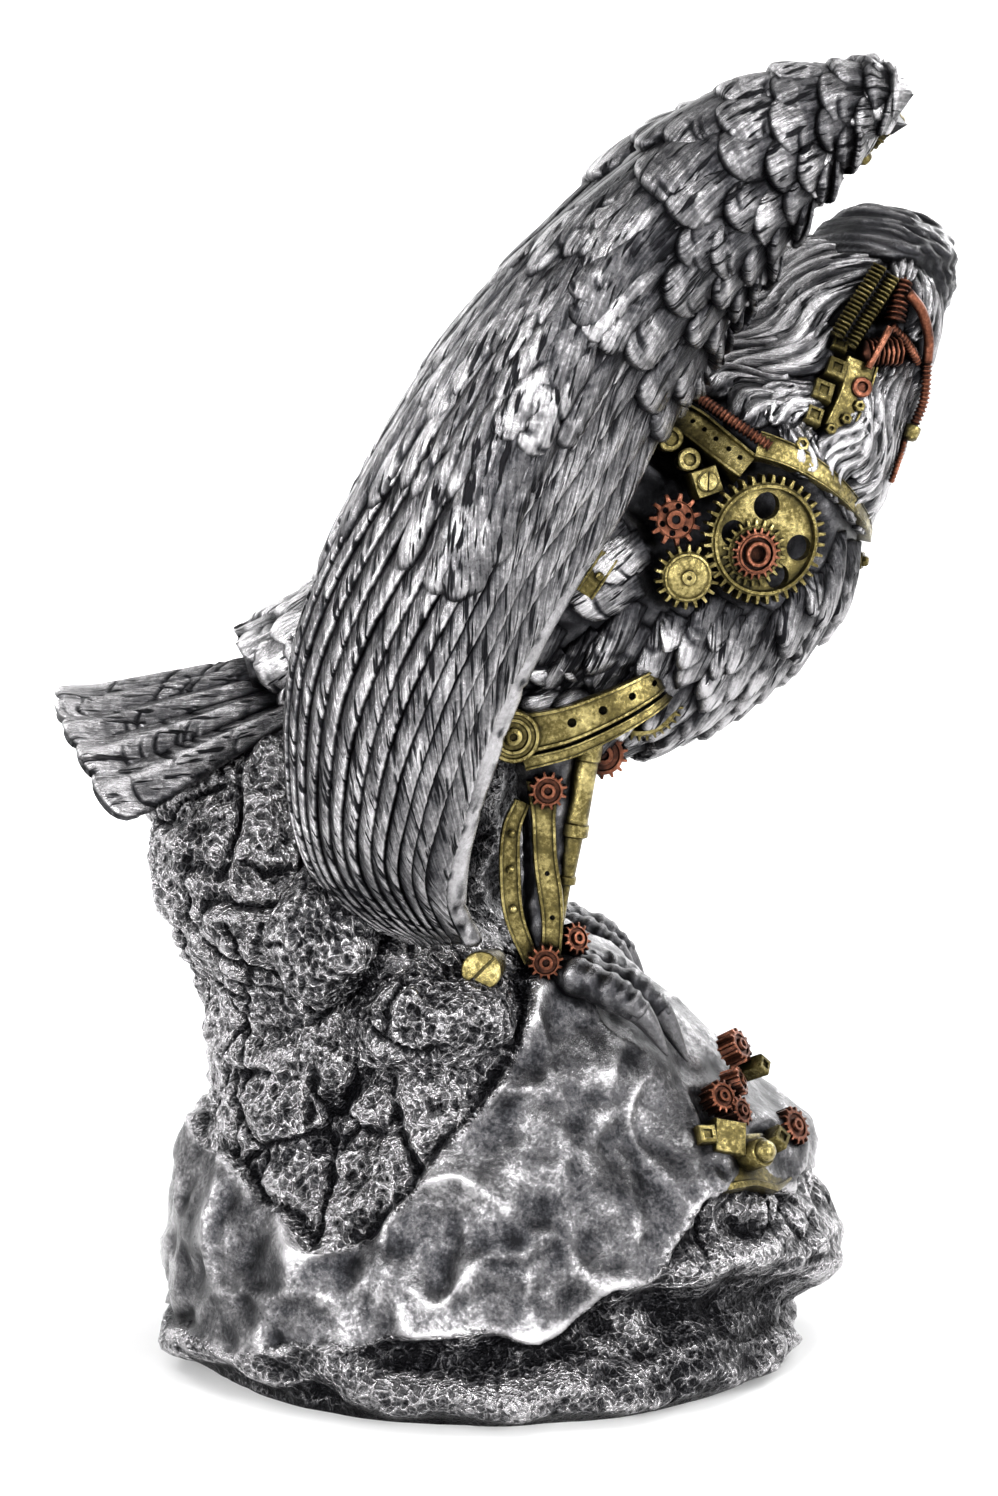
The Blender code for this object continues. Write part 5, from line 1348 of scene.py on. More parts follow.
def make_crag():
    """The crag in two halves, of stone with smooth melt over parts of it, and its outcrops."""
    for name, rows, columns, start, end in CRAG_HALVES:
        grid = crag_grid(rows, columns, start, end)
        centre = grid * (0, 0, 1) + CRAG_CENTRE
        normals = grid_normals(grid, False)
        outward = normals * np.sign((normals * (grid - centre)).sum(axis=2, keepdims=True))
        outward[..., 2] *= 0.4
        coarse, fine, melt = crag_relief(grid)
        height = (coarse + fine - 1.0) * (0.25 + 0.75 * smooth_step(0, 5, grid[..., 2]))
        shaped = grid + outward * height[..., None]
        shaped[..., 2] = np.maximum(shaped[..., 2], 0.0)
        shaped[0, :, 2] = 0.0
        # Painted shade: the bare stone is darkened towards the crag's foot, under the melt
        foot = 1 - smooth_step(26, 44, grid[..., 2])
        patches = 0.3 * roughness_at(grid, 17.0, 21.0)
        wash = (0.10 - 0.16 * foot + patches + washed(height, 0.66, 5)) * (1 - melt)
        wash = wash + melt * (patches + washed(height, 0.32, 12))
        base = shaped[:1] * 0 + CRAG_CENTRE
        crown = shaped[-1:].mean(axis=1, keepdims=True) * np.ones_like(shaped[-1:])
        heap = Heap()
        heap.grid(np.concatenate([base, shaped, crown]), np.clip(with_ends(wash), 0, 1))
        made = heap.piece(name, STONE)
        made.data.materials.append(MELT)
        soft = with_ends(melt) > 0.5
        soft = soft[:-1, :-1] & soft[1:, :-1] & soft[:-1, 1:] & soft[1:, 1:]
        made.data.polygons.foreach_set("material_index", soft.ravel().astype(np.int32))
    make_outcrops()


def ellipsoid_sheet(centre, radii, rows, columns):
    """An egg with its poles along X."""
    polar = np.linspace(0.01, 0.99, rows)[:, None] * math.pi
    around = np.linspace(0, 2 * math.pi, columns, endpoint=False)[None, :]
    x = -np.cos(polar) * np.ones_like(around) * radii[0]
    y = np.sin(polar) * np.cos(around) * radii[1]
    z = np.sin(polar) * np.sin(around) * radii[2]
    return Sheet(np.stack([x, y, z], axis=2) + centre, centre=np.asarray(centre), wrap=True)


def make_outcrops():
    """The rough knobs and shelves beside the feet, and the rough pillar behind the legs."""
    for name, centre, radii, rows, columns in OUTCROPS:
        sheet = ellipsoid_sheet(centre, radii, rows, columns)
        points, normals = sheet.points[:, :-1], sheet.normals[:, :-1]
        height = stone_relief(points) - 1.0 + 1.5 * roughness_at(points, 9.0, 7.0)
        heap = Heap()
        heap.tube(points + normals * height[..., None], washed(height, 0.9, 4, True), flip=sheet.flip)
        heap.piece(name, STONE)
    t = np.linspace(0, 1, 84)
    path = along(PILLAR_LINE, t)
    rings = rings_along(path, np.interp(t, (0, 0.35, 0.7, 1), (26, 20, 20, 27)), 70)
    height = stone_relief(rings) - 1.0 + 3.0 * roughness_at(rings, 9.0, 5.0)
    heap = Heap()
    # Painted shade: the pillar's wash is dimmed all over, as it stands in the shade under the body between
    # the legs
    heap.tube(rings + outward_of(rings, path) * height[..., None], 0.6 * washed(height, 0.7, 4, True))
    heap.piece("pillar", STONE)


# Legs and feet

TOES = (
    ((7, 31, 94), (16, 38, 93), (26, 42, 88), (34, 43, 79)),
    ((8, 30, 94), (19, 32, 92.5), (31, 33, 87), (40, 33, 75)),
    ((8, 28, 94), (17, 23, 93), (28, 19, 89), (36, 17, 80)),
    ((6, 30, 94), (-3, 27, 95), (-11, 23, 96), (-16, 20, 91)),
)
TOE_RADII = (4.6, 4.0, 4.5, 3.7, 4.2, 3.4, 2.7)


def make_toes(side):
    """Scaled toes that grip the stone, each with a hooked claw."""
    toes, claws = Heap(), Heap()
    t = np.linspace(0, 0.74, 72)
    tip = np.linspace(0, 1, 20)
    for toe in TOES:
        route = [(x, y * side, z) for x, y, z in toe]
        path = along(route, t)
        size = np.interp(t, np.linspace(0, 0.74, len(TOE_RADII)), TOE_RADII)
        rings = rings_along(path, size, 22)
        outward = (rings - path[:, None]) / size[:, None, None]
        upward = np.clip(outward[..., 2], 0, 1) ** 0.5
        wave = np.cos(t * 2 * math.pi * 11 + 1.5 * np.sin(9 * t))[:, None]
        scutes = 0.28 * upward * np.sign(wave) * np.abs(wave) ** 0.5
        warts = 0.4 * (1 - cells_at(rings, 2.4, 4.0)[0]) + 0.5 * roughness_at(rings, 5.0, 2.0)
        height = scutes + warts
        toes.tube(rings + outward * height[..., None], np.clip(0.08 + 0.6 * height, 0, 1))
        claw = along(route, np.linspace(0.70, 1.0, 20)) + np.outer(tip**2, (0, 0, -2.5))
        claws.tube(rings_along(claw, (1 - tip) ** 0.7 * 3.0 + 0.12, 16), 0.36)
    toes.piece(f"{word_of(side)}_toes", SILVER)
    claws.piece(f"{word_of(side)}_claws", SILVER)


def make_thigh(side):
    """The feathered thigh and the shank."""
    sheet = ellipsoid_sheet((8.0, 23.0 * side, 155.0), (22.0, 13.0, 12.0), 36, 48)
    heap = Heap()
    heap.tube(sheet.points[:, :-1] - sheet.normals[:, :-1] * 0.6, 0.2, flip=sheet.flip)
    for row in range(8):
        down = 0.9 - 0.1 * row
        count = int(3 + 9 * math.sin(math.pi * down))
        for i in range(count):
            across = (i + 0.5 * (row % 2)) / count
            lay_feather(heap, sheet, (across, down), (across, down - 0.2), THIGH_CUT,
                        seed=17 * row + i + 3 * side)
    t = np.linspace(0, 1, 80)
    shank = along([(7.5, 30.0 * side, 146), (7.5, 30.0 * side, 118), (7.0, 30.0 * side, 92)], t)
    rings = rings_along(shank, np.interp(t, (0, 0.5, 1), (7.0, 4.2, 4.4)), 26)
    height = 0.6 * (1 - cells_at(rings, 3.0, 6.0)[0]) + 0.4 * roughness_at(rings, 4.0, 1.0)
    wash = np.clip(0.15 + 0.55 * height, 0, 1)
    heap.tube(rings + outward_of(rings, shank) * height[..., None], wash)
    heap.piece(f"{word_of(side)}_thigh", SILVER)


# Clockwork on the legs

# Bores along the thigh strap: share of its length, and radius.
THIGH_HOLES = ((0.27, 1.05), (0.42, 1.0), (0.57, 0.85), (0.71, 0.7), (0.83, 0.55))
KNEE_FACE = (
    (5.9, -8.0), (5.9, 2.9), (5.6, 3.3), (5.0, 3.3), (4.7, 2.7), (4.1, 2.6), (3.9, 3.0), (3.3, 3.0),
    (3.0, 2.3), (2.0, 2.2), (1.9, 3.2), (1.4, 3.5), (0.9, 3.5), (0.7, 2.6), (0.2, 2.6),
)
BOW_LINE = (
    (2.2, -34.5, 133.0), (-0.2, -35.0, 127.0), (-0.6, -35.0, 117.0), (0.4, -35.0, 107.0), (4.2, -35.0, 97.0)
)
# Faces of small wheels inside the teeth: share of the radius, and height.
BOSS = ((0.66, 0.0), (0.62, -0.5), (0.42, -0.5), (0.38, 0.6), (0.22, 0.6), (0.15, -0.2), (0.03, -0.2))


def leg_clockwork(side):
    """Straps, rods, piston, pins and a small knee wheel of one leg. The plainer left one has no bow and no
    other small wheels.
    """
    word, y = word_of(side), float(side)
    out = np.array((0.0, y, 0.0))
    t = np.linspace(0, 1, 40)
    facing = [out] * len(t)
    spine = along([(-0.5, 41.0 * y, 148.9), (10.8, 42.0 * y, 151.3), (22.6, 42.0 * y, 156.0),
                   (31.0, 38.0 * y, 159.8), (36.5, 25.0 * y, 161.6)], t)
    strap = band(f"{word}_thigh_strap", spine + out * 0.9, facing, 9.0 - 4.9 * t**1.2, 4.0, BRASS,
                 lip=0.5, lip_share=0.2)
    carved(strap, [bore(along(spine, share) + out * 0.9, out, radius, BRASS, depth=3.0)
                   for share, radius in THIGH_HOLES])
    down = np.outer(1 - 0.42 * t, (2.5, 0, -6.4))
    band(f"{word}_thigh_rail", spine + down + out * 0.4, facing, 3.0 - 1.2 * t, 4.0, BRASS,
         lip=0.45, lip_share=0.3)
    turned(f"{word}_knee_disc", (-0.6, 40.0 * y, 148.9), out, KNEE_FACE, BRASS, sides=40)
    shin = along([(6.6, 36.5 * y, 138.0), (7.2, 36.0 * y, 121.0), (8.8, 36.0 * y, 108.0),
                  (8.4, 36.0 * y, 96.0)], t)
    widths = 5.6 * np.interp(t, np.linspace(0, 1, 6), (1.3, 0.95, 0.95, 1.0, 0.85, 0.8))
    plate = band(f"{word}_shin_plate", shin, facing, widths, 2.6, BRASS, lip=0.5, lip_share=0.28)
    carved(plate, [bore(along(shin, share), out, 0.6, BRASS, depth=1.6) for share in (0.5, 0.74)])
    top, foot = np.array((17.0, 31.5 * y, 143.0)), np.array((12.9, 31.5 * y, 119.0))
    long = np.linalg.norm(foot - top)
    turned(f"{word}_piston", top, foot - top, (
        (2.2, -4.0), (3.2, -3.6), (3.2, 1.0), (2.8, 1.4), (2.8, long - 9), (3.3, long - 8.6),
        (3.3, long - 6.0), (2.3, long - 5.5), (2.0, long + 3.0), (2.4, long + 3.4), (2.4, long + 5.0),
        (1.4, long + 5.4), (1.4, long + 24.0)), BRASS, sides=24)
    small_wheel(f"{word}_knee_wheel", (7.5, 38.2 * y, 136.0), out, 4.3, 12, 6.0, 0.9)
    if side > 0:
        return
    bow = along(BOW_LINE, t)
    band("right_shin_bow", bow, facing, 3.6 + 1.2 * np.sin(t * math.pi), 2.6, BRASS, lip=0.5, lip_share=0.3)
    for i, share in enumerate((0.2, 0.42, 0.66)):
        turned(f"bow_stud{i}", along(bow, share), out, ((0.9, -3), (0.9, 0.5), (0.6, 0.8), (0.2, 0.9)),
               BRASS, sides=10)
    small_wheel("ankle_wheel", (7.0, -39.2, 97.5), out, 4.0, 12, 7.0, 0.9)
    small_wheel("toe_wheel", (15.0, -32.3, 101.5), (0.5, -0.8, 0.3), 3.8, 12, 6.0, 0.9)
    small_wheel("hip_wheel", (21.0, -28.5, 142.5), out, 5.6, 14, 8.0, 1.0)
    pin = np.array((-0.22, -0.96, 0.12))
    screw("ankle_pin", (-8.0, -47.5, 97.8), pin, 4.4, BRASS, height=1.5, turn=0.8)
    turned("ankle_pin_shaft", (-6.4, -42.0, 97.2), pin, ((3.6, -12), (3.6, 5.8)), BRASS)


def small_wheel(name, place, axis, radius, teeth, depth, tooth):
    """A copper wheel with a boss in its middle."""
    face = tuple((radius * share, height) for share, height in BOSS)
    gear(name, place, axis, radius, teeth, COPPER, face, depth=depth, tooth=tooth)


# Clockwork on the body and the crag

GREAT_WHEEL_PLACE = (54.2, 191.8)
GREAT_WHEEL_RADIUS = 14.3
GREAT_FACE = ((12.35, 0.0), (12.1, 0.55), (11.5, 0.55), (11.2, -0.5), (6.0, -0.5), (0.6, -0.5))
# The great wheel's round windows: place from its centre, along and up, and radius.
GREAT_HOLES = ((0.2, 7.4, 3.1), (8.1, -2.0, 2.9), (-7.4, 1.6, 2.9), (3.2, -8.2, 2.8))
HUB_OFFSET = (-2.6, 0.0, -2.8)
# Routes over the skin, in X and Z.
COLLAR_ROUTE = ((53.5, 211.5), (60.5, 209.3), (70.0, 203.5), (78.7, 194.8), (82.5, 189.5))
SADDLE_ROUTE = ((31.0, 219.0), (39.6, 215.6), (44.8, 211.6), (51.0, 206.8))
FLANK_HOSE_ROUTE = ((34.0, 226.0), (42.2, 220.6), (48.3, 216.2), (56.0, 211.0))
# The tubes down the throat.
PIPE_LINE = ((89.8, -22.6, 245.0), (93.0, -21.6, 241.0), (95.4, -18.6, 235.0), (95.6, -16.8, 229.5))
HOSE_LINE = ((95.6, -16.8, 229.6), (95.0, -16.6, 221.0), (92.4, -17.0, 214.6))
STRIP_LINE = ((90.8, -16.9, 212.4), (89.2, -17.2, 207.0), (87.6, -17.2, 202.4))
# Square blocks on the neck: place in X and Z, and size.
NECK_BLOCKS = ((73.4, 233.0, 2.6), (72.0, 227.6, 3.3), (68.6, 222.8, 3.3), (66.2, 217.6, 2.8))
SCRAP_LINE = ((37.5, -48.0, 54.0), (46.0, -45.5, 53.5), (55.0, -39.0, 51.0), (64.0, -28.0, 46.5))
SCRAP_BOSS = ((0.62, 0.0), (0.58, -0.4), (0.38, -0.4), (0.34, 0.5), (0.2, 0.5), (0.14, -0.2), (0.03, -0.2))
# Wheels in the scrap: place, axis, radius and teeth.
SCRAP_WHEELS = (
    ((46.4, -36.0, 64.6), (0.45, -0.75, 0.5), 4.0, 13),
    ((52.0, -22.5, 73.0), (0.75, -0.45, 0.5), 4.2, 12),
    ((65.2, -23.0, 54.0), (0.65, -0.6, 0.45), 4.6, 14),
    ((50.4, -35.5, 61.2), (0.7, -0.6, 0.4), 3.6, 11),
    ((50.6, -31.0, 66.8), (0.9, -0.3, 0.4), 3.4, 11),
)
# Square blocks in the scrap: place, axis and size.
SCRAP_BLOCKS = (
    ((57.5, -24.0, 69.0), (0.7, -0.6, 0.4), 2.6),
    ((42.0, -45.0, 58.5), (0.3, -0.8, 0.5), 3.0),
    ((60.5, -32.5, 54.0), (0.6, -0.6, 0.5), 3.0),
)


def great_wheel(skin, side):
    """The great wheel of the flank, with the smaller wheels stacked on it off its centre."""
    word = word_of(side)
    point, _ = skin.at(*GREAT_WHEEL_PLACE, side)
    axis = unit((0.22, side * 0.97, -0.05))
    front = point + 3.2 * axis
    wheel = gear(f"{word}_great_wheel", front, axis, GREAT_WHEEL_RADIUS, 36, BRASS, GREAT_FACE,
                 depth=3.0, tooth=1.7)
    right, up = unit(np.cross(axis, UPRIGHT)) * side, np.array(UPRIGHT)
    carved(wheel, [bore(front + dx * right + dz * up, axis, radius, BRASS, depth=9.0)
                   for dx, dz, radius in GREAT_HOLES])
    hub = front + HUB_OFFSET - 0.3 * axis
    if side < 0:
        gear("middle_wheel", hub + 1.0 * axis, axis, 7.5, 22, BRASS, (
            (5.9, 0.0), (5.7, 0.35), (5.2, 0.35), (5.0, 0.0), (0.6, 0.0)), depth=1.4, tooth=1.3)
    gear(f"{word}_copper_wheel", hub + 2.2 * axis, axis, 5.7, 20, COPPER, (
        (4.2, 0.0), (4.1, 0.3), (3.7, 0.3), (3.5, -0.6), (2.9, -0.6), (0.6, -0.6)), depth=1.4, tooth=1.0)
    turned(f"{word}_hub", hub + 2.2 * axis, axis, (
        (2.9, -1.0), (2.9, 0.9), (2.7, 1.2), (2.1, 1.2), (1.8, 0.9), (1.7, -0.6), (0.2, -0.6)), COPPER,
        sides=36)
    turned(f"{word}_great_axle", front, axis, ((3.4, -14.0), (3.4, -1.2)), DARK)


def skin_path(skin, side, route, lift, steps=60):
    """A smooth path and its normals over the skin, through places given in X and Z."""
    found = np.array([skin.at(x, z, side, lift) for x, z in along(route, np.linspace(0, 1, steps))])
    for _ in range(14):
        found = np.concatenate([found[:1], (found[:-2] + 2 * found[1:-1] + found[2:]) / 4, found[-1:]])
    return found[:, 0], found[:, 1]


def body_clockwork(skin, side):
    """Wheels, plate, straps and hose of one flank. The eagle's left flank has the plainer set."""
    word = word_of(side)
    great_wheel(skin, side)
    t = np.linspace(0, 1, 60)
    path, normals = skin_path(skin, side, COLLAR_ROUTE, 3.2)
    band(f"{word}_collar", path, normals, 6.2 - 4.2 * t, 6.0, BRASS, lip=0.25, lip_share=0.12, speckle=0.6)
    for i, z in enumerate((192.6, 183.4)):
        turned(f"{word}_collar_bolt{i}", skin.at(83.0 + 0.4 * i, z, side)[0], (0.9, side * 0.4, -0.1), (
            (2.3, -4), (2.3, 1.2), (2.1, 1.5), (1.4, 1.5), (1.3, 2.4), (0.9, 2.8), (0.2, 2.9)), BRASS,
            sides=6)
    if side > 0:
        return
    belly, _ = skin.at(29.8, 155.0)
    gear("belly_wheel", belly + (0, -1.2, -1.0), (0.1, -0.93, -0.35), 9.4, 30, BRASS, (
        (7.7, 0.0), (7.5, 0.4), (6.6, 0.4), (6.4, -1.6), (0.6, -1.6)), depth=8.0, tooth=1.2)
    star_axis, dish_axis = unit((0.06, -1, 0.05)), unit((0.08, -1, -0.05))
    star = skin.at(34.6, 196.1)[0] + 3.6 * star_axis
    dish = skin.at(37.1, 184.0)[0]
    wheel = gear("star_wheel", star, star_axis, 5.8, 11, COPPER, (
        (4.1, 0.0), (3.9, -0.25), (3.5, -0.3), (2.2, -0.3), (2.0, 0.5), (1.0, 0.5), (0.8, -0.8), (0.2, -0.8)),
        depth=1.8, tooth=1.5)
    side_way, up_way = frame_of(star_axis)
    carved(wheel, [
        bore(star + 3.0 * (math.cos(angle) * side_way + math.sin(angle) * up_way), star_axis, 0.72, COPPER)
        for angle in np.arange(6) * math.pi / 3 + 0.3])
    gear("dish_wheel", dish + 4.2 * dish_axis, dish_axis, 7.1, 18, BRASS, (
        (5.3, 0.0), (5.2, 0.45), (4.8, 0.55), (4.5, 0.3), (3.4, 0.75), (2.4, 0.95), (1.7, 0.95), (1.5, 1.5),
        (1.0, 1.7), (0.55, 1.7), (0.45, 1.2), (0.1, 1.2)), depth=2.6, tooth=1.5)
    for name, centre, axis in (("star_axle", star, star_axis), ("dish_axle", dish, dish_axis)):
        turned(name, centre, axis, ((2.0, -12.0), (2.0, -0.5)), DARK)
    plate, _ = skin.at(41.8, 204.0)
    plate_axis = unit((0.1, -1, 0.12))
    turned("screw_plate", plate, plate_axis, ((4.3, -8), (4.3, 2.4), (4.0, 2.7), (0.5, 2.7)), BRASS,
           sides=4, spin=math.radians(62))
    screw("plate_screw", plate + 2.7 * plate_axis, plate_axis, 2.2, BRASS, height=0.9, turn=1.5)
    path, normals = skin_path(skin, side, SADDLE_ROUTE, 3.0)
    saddle = band("saddle_strap", path, normals, 8.4 - 1.8 * t, 7.0, BRASS, lip=0.7, lip_share=0.2)
    across = 0.6 * unit(np.cross(normals[30], path[31] - path[29]))
    places = [int(share * 59) for share in (0.30, 0.42, 0.54, 0.66, 0.78, 0.90)]
    carved(saddle, [bore(path[k] + across, normals[k], 0.62, BRASS, depth=2.0) for k in places])
    hose("flank_hose", skin_path(skin, side, FLANK_HOSE_ROUTE, 2.8)[0], 1.5, 1.05, COPPER, depth=0.35)
    for i, (x, z, radius) in enumerate(((34.8, 211.6, 2.9), (38.6, 207.6, 2.6))):
        turned(f"link_eye{i}", skin.at(x, z, side, 3.2)[0], (0.05, -1, 0.1), (
            (radius, -5), (radius, -0.3), (radius - 0.3, 0.0), (radius - 1.1, 0.0), (radius - 1.3, -0.7),
            (0.2, -0.7)), BRASS, sides=20)
    bracket, _ = skin.at(18.0, 184.5)
    steps = bracket + np.array(((-3, -3.6, -4.5), (0, -3.6, 0), (2.6, -3.2, 4)))
    band("wing_bracket", along(steps, np.linspace(0, 1, 12)), [(0, -1, 0)] * 12, [4.4] * 12, 6.0, BRASS,
         lip_share=0.25)
    screw("bracket_screw", bracket + (0.2, -3.4, -0.5), (0, -1, 0), 1.0, BRASS, height=0.9)


def neck_clockwork(skin):
    """The open works in the right side of the neck: finned stacks, coils, blocks, plate and tubes."""
    out = unit((0.10, -0.97, 0.22))
    side_way = unit((1.0, 0.1, -0.75))
    stack, _ = skin_path(skin, -1, [(73.8, 233.6), (79.3, 241.5), (84.6, 248.6)], 1.4, steps=20)
    for i, shift in enumerate((-1.9, 1.9)):
        hose(f"fin_stack{i}", stack + shift * side_way + out * 0.9, 2.3, 1.15, BRASS, sides=4, depth=0.5)
    rod("fin_core", stack - out * 1.6, 2.6, DARK)
    coil, _ = skin_path(skin, -1, [(86.6, 239.0), (88.8, 247.4)], 0.8, steps=8)
    hose("neck_coil", coil, 2.5, 1.25, COPPER, sides=16, depth=0.45)
    block, _ = skin.at(82.4, 231.8, -1, 1.2)
    across = unit((1.0, 0.35, 0.05))
    ribbed = along([block - across * 4.4, block + across * 4.4], np.linspace(0, 1, 8))
    hose("ribbed_block", ribbed, 3.6, 1.25, COPPER, sides=8, depth=0.4)
    leaning = along([block + (1.6, -3.4, 5.6), block + (-3.4, -4.0, -3.4)], np.linspace(0, 1, 6))
    rod("block_rod", leaning, 0.85, COPPER)
    path, _ = skin_path(skin, -1, [(85.2, 237.4), (89.1, 233.6), (92.3, 229.5)], 1.6, steps=20)
    hose("block_hose", path, 1.25, 1.0, COPPER, depth=0.35)
    rod("neck_pipe", along(PIPE_LINE, np.linspace(0, 1, 24)), 1.2, COPPER, sides=16)
    tail = along(HOSE_LINE, np.linspace(0, 1, 24))
    hose("neck_hose", tail, 1.35, 1.0, COPPER, depth=0.35)
    turned("neck_bead", tail[-1], tail[-1] - tail[-2], (
        (0.6, -1.2), (1.9, -0.6), (2.1, 0.4), (1.9, 2.2), (1.3, 2.8), (0.3, 3.0)), BRASS)
    hose("neck_strip", along(STRIP_LINE, np.linspace(0, 1, 14)), 0.9, 0.9, COPPER, sides=8, depth=0.3)
    path, normals = skin_path(skin, -1, [(78.0, 229.5), (75.4, 222.1), (70.8, 214.4)], 2.2, steps=30)
    band("neck_plate", path, normals, 8.2 - 1.4 * np.linspace(0, 1, 30), 5.0, BRASS, lip=0.4, lip_share=0.16,
         speckle=0.3)
    for i, (x, z, size) in enumerate(NECK_BLOCKS):
        place, normal = skin.at(x, z)
        turned(f"neck_block{i}", place, normal + (0, 0, 0.2), (
            (size, -6), (size, 2.4), (size - 0.4, 2.8), (1.6, 2.8), (1.4, 2.3), (0.3, 2.3)), BRASS,
            sides=4, spin=0.35)
    for i, (x, z) in enumerate(((76.4, 220.0), (73.2, 217.2), (69.6, 215.0))):
        turned(f"neck_nut{i}", skin.at(x, z, -1, 2.0)[0], out, (
            (1.4, -3), (1.4, 1.2), (1.1, 1.5), (0.6, 1.5), (0.4, 0.9), (0.1, 0.9)), BRASS, sides=6)
    turned("neck_ring", skin.at(77.2, 224.0, -1, 2.0)[0], out, (
        (2.3, -3), (2.3, 0.9), (2.0, 1.2), (1.3, 1.2), (1.0, 0.5), (0.2, 0.5)), COPPER)
    turned("shoulder_nut", *skin.at(62.8, 211.8, -1, 1.8), (
        (1.8, -4), (1.8, 1.4), (1.5, 1.8), (0.9, 1.8), (0.7, 1.2), (0.2, 1.2)), BRASS, sides=6)


def wrist_clockwork(side):
    """A wheel and studs let into the front of one wing's arm, by the wrist."""
    word, axis = word_of(side), (0.75, -0.2 * side, -0.6)
    gear(f"{word}_wrist_wheel", (76.8, 52.0 * side, 278.0), axis, 4.4, 13, BRASS, (
        (3.1, 0.0), (2.9, -0.4), (1.6, -0.4), (1.4, 0.5), (0.2, 0.5)), depth=5.0, tooth=0.9)
    for i, (x, z) in enumerate(((73.2, 273.8), (80.2, 281.4))):
        turned(f"{word}_wrist_stud{i}", (x, 52.5 * side, z), axis, (
            (1.7, -3), (1.7, 0.6), (1.3, 1.2), (0.2, 1.5)), BRASS, sides=14)


def crag_clockwork():
    """Scrap of plates, nut and wheels caught in the melt below the eagle's right foot."""
    slope = unit((0.45, -0.72, 0.53))
    t = np.linspace(0, 1, 24)
    widths = np.interp(t, np.linspace(0, 1, 5), (8, 15, 12, 14, 7))
    band("scrap_sheet", along(SCRAP_LINE, t) + slope * 0.4, [slope] * len(t), widths, 8.0, BRASS,
         lip=0.6, lip_share=0.2)
    turned("nut_block", (47.5, -42.5, 57.0), (0.3, -0.8, 0.5), (
        (5.6, -9), (5.6, 2.0), (5.1, 2.5), (0.4, 2.5)), BRASS, sides=4, spin=0.5)
    turned("cap_nut", (54.5, -44.0, 54.0), (0.5, -0.7, 0.4), (
        (3.4, -8), (3.4, 1.6), (3.1, 2.0), (2.6, 2.0), (2.5, 3.0), (2.0, 3.9), (1.1, 4.5), (0.2, 4.7)),
        BRASS, sides=18)
    for i, (centre, axis, radius, teeth) in enumerate(SCRAP_WHEELS):
        face = tuple((radius * share, height) for share, height in SCRAP_BOSS)
        gear(f"scrap_wheel{i}", np.array(centre) + 2.6 * unit(axis), axis, radius, teeth, COPPER, face,
             depth=4.5, tooth=0.2 * radius)
    for i, (centre, axis, size) in enumerate(SCRAP_BLOCKS):
        turned(f"scrap_block{i}", centre, axis, (
            (size, -7), (size, 2.0), (size - 0.4, 2.4), (0.5 * size, 2.4), (0.4 * size, 1.8), (0.2, 1.8)),
            BRASS, sides=4, spin=0.7 * i)


# Stage, lights and camera

FLOOR_REACH, FLOOR_BEND, WALL_HEIGHT = 1900.0, 900.0, 2600.0
# Lamps: place, aim, size and power.
AIM = (0.0, 0.0, 0.16)
LAMPS = (
    ("key", (-0.75, -1.15, 0.46), AIM, 0.36, 22.0),
    ("fill", (1.0, -0.95, 0.55), AIM, 0.5, 17.0),
    ("top", (0.15, 0.0, 1.5), AIM, 0.7, 8.0),
    ("wall", (0.1, 0.9, 1.3), (0.1, 2.6, 0.7), 1.2, 40.0),
    ("back_left", (-0.9, 0.9, 0.9), AIM, 0.6, 8.0),
    ("back_right", (0.95, 0.9, 0.8), AIM, 0.6, 12.0),
)


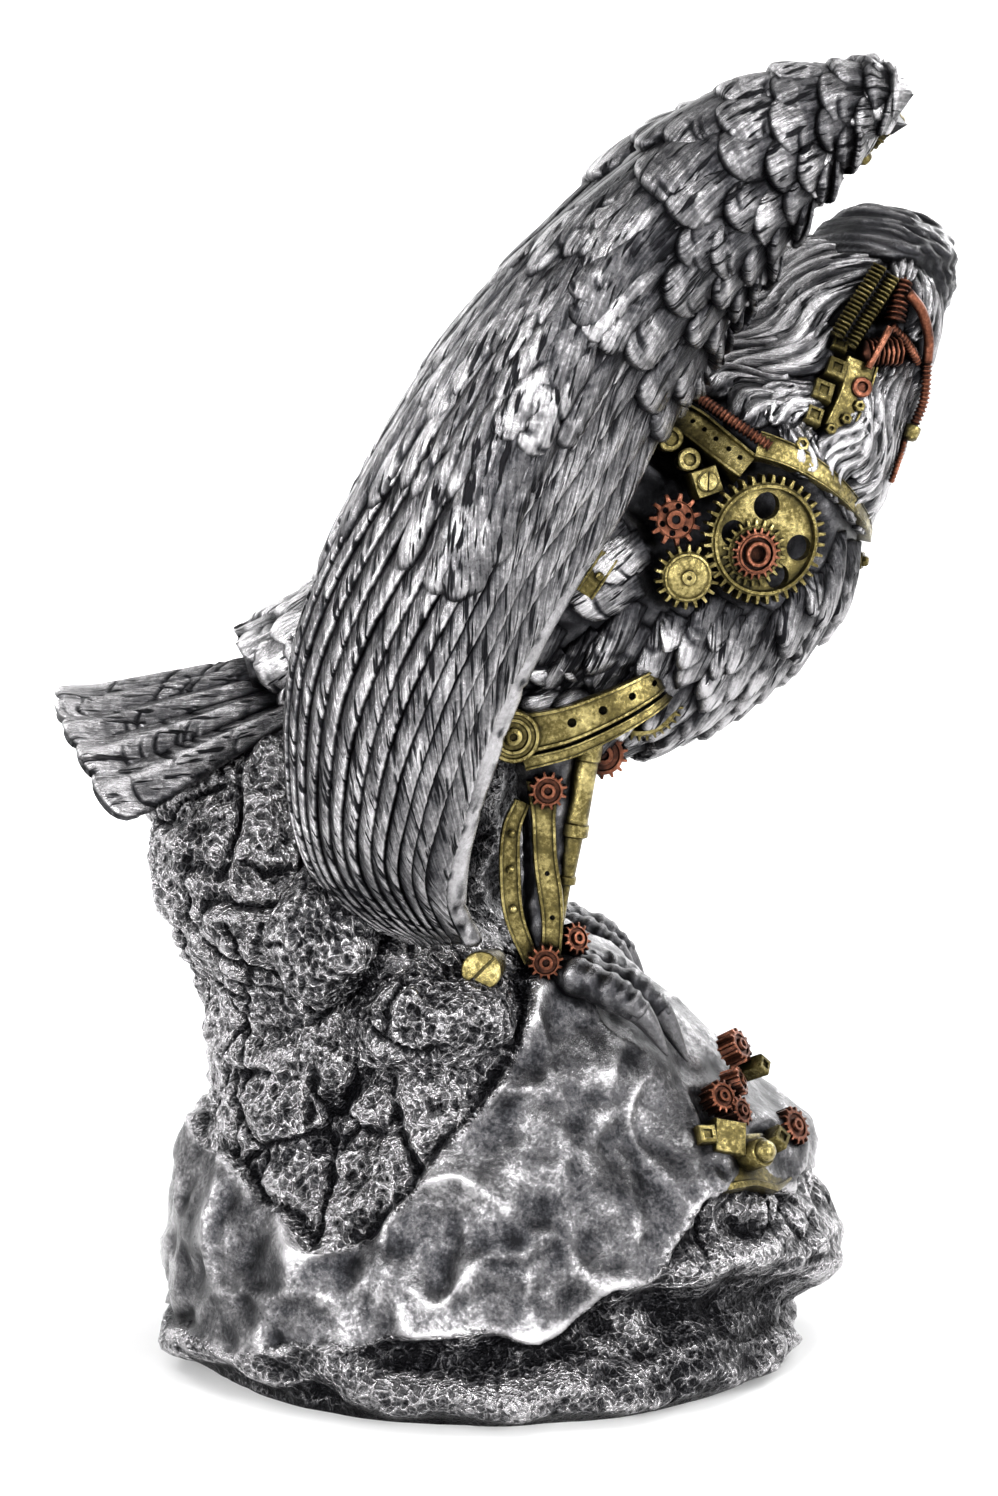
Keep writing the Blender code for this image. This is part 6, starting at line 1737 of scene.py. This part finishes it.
def make_stage():
    """A pale floor that curves up into a pale wall all round."""
    bend = np.linspace(0.1, math.pi / 2, 12)
    reach = FLOOR_REACH + FLOOR_BEND * np.sin(bend)
    rise = FLOOR_BEND * (1 - np.cos(bend))
    radii = np.concatenate([np.linspace(0.0, FLOOR_REACH, 12), reach, [FLOOR_REACH + FLOOR_BEND]])
    heights = np.concatenate([np.zeros(12), rise, [WALL_HEIGHT]])
    around = np.linspace(0, 2 * math.pi, 96, endpoint=False)
    ring = np.stack([np.cos(around), np.sin(around), 0 * around], axis=1)
    points = radii[:, None, None] * ring + heights[:, None, None] * np.array(UPRIGHT)
    pale = bpy.data.materials.new("pale_floor")
    pale.use_nodes = True
    shader = pale.node_tree.nodes["Principled BSDF"]
    shader.inputs["Base Color"].default_value = (0.92, 0.92, 0.92, 1.0)
    shader.inputs["Roughness"].default_value = 0.9
    shader.inputs["Specular IOR Level"].default_value = 0.1
    heap = Heap()
    heap.grid(points, wrap=True)
    heap.piece("floor", pale)


def make_lights():
    """Soft lamps round the figurine, one on the wall behind it, and a dim white world."""
    for name, place, aim, size, power in LAMPS:
        data = bpy.data.lights.new(name, "AREA")
        data.energy = power
        data.size = size
        light = bpy.data.objects.new(name, data)
        light.location = place
        light.rotation_euler = (Vector(aim) - Vector(place)).to_track_quat("-Z", "Y").to_euler()
        bpy.context.scene.collection.objects.link(light)
    world = bpy.data.worlds.new("studio")
    world.use_nodes = True
    backdrop = world.node_tree.nodes["Background"]
    backdrop.inputs["Color"].default_value = (1.0, 1.0, 1.0, 1.0)
    backdrop.inputs["Strength"].default_value = 0.38
    bpy.context.scene.world = world
    bpy.context.scene.view_settings.view_transform = "Standard"


CAMERA_PLACE = (-0.0654, -0.7471, 0.25)
CAMERA_PITCH = math.radians(8.33)
CAMERA_TURN = math.radians(-5.0)
CAMERA_LENS = 78.5
SENSOR_HEIGHT = 36.0


def make_camera():
    """The camera, where the photograph was taken from."""
    data = bpy.data.cameras.new("camera")
    data.sensor_fit = "VERTICAL"
    data.sensor_height = SENSOR_HEIGHT
    data.lens = CAMERA_LENS
    camera = bpy.data.objects.new("camera", data)
    camera.location = CAMERA_PLACE
    camera.rotation_euler = (math.pi / 2 - CAMERA_PITCH, 0.0, CAMERA_TURN)
    bpy.context.scene.collection.objects.link(camera)
    bpy.context.scene.camera = camera


def main():
    make_camera()
    make_lights()
    make_stage()
    before = set(bpy.data.objects)
    body = Sheet(body_grid(240, 360), centre=body_grid(240, 360).mean(axis=1, keepdims=True), wrap=True)
    skin = Skin(body)
    make_body_core(body)
    make_body_plumage(body)
    make_neck_locks(body)
    make_head()
    make_tail()
    make_crag()
    neck_clockwork(skin)
    crag_clockwork()
    for side in (-1, 1):
        make_wing(side)
        make_thigh(side)
        make_toes(side)
        leg_clockwork(side)
        body_clockwork(skin, side)
        wrist_clockwork(side)
    for thing in sorted(set(bpy.data.objects) - before, key=lambda thing: thing.name):
        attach(thing, "root")
        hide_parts(NODE)


main()
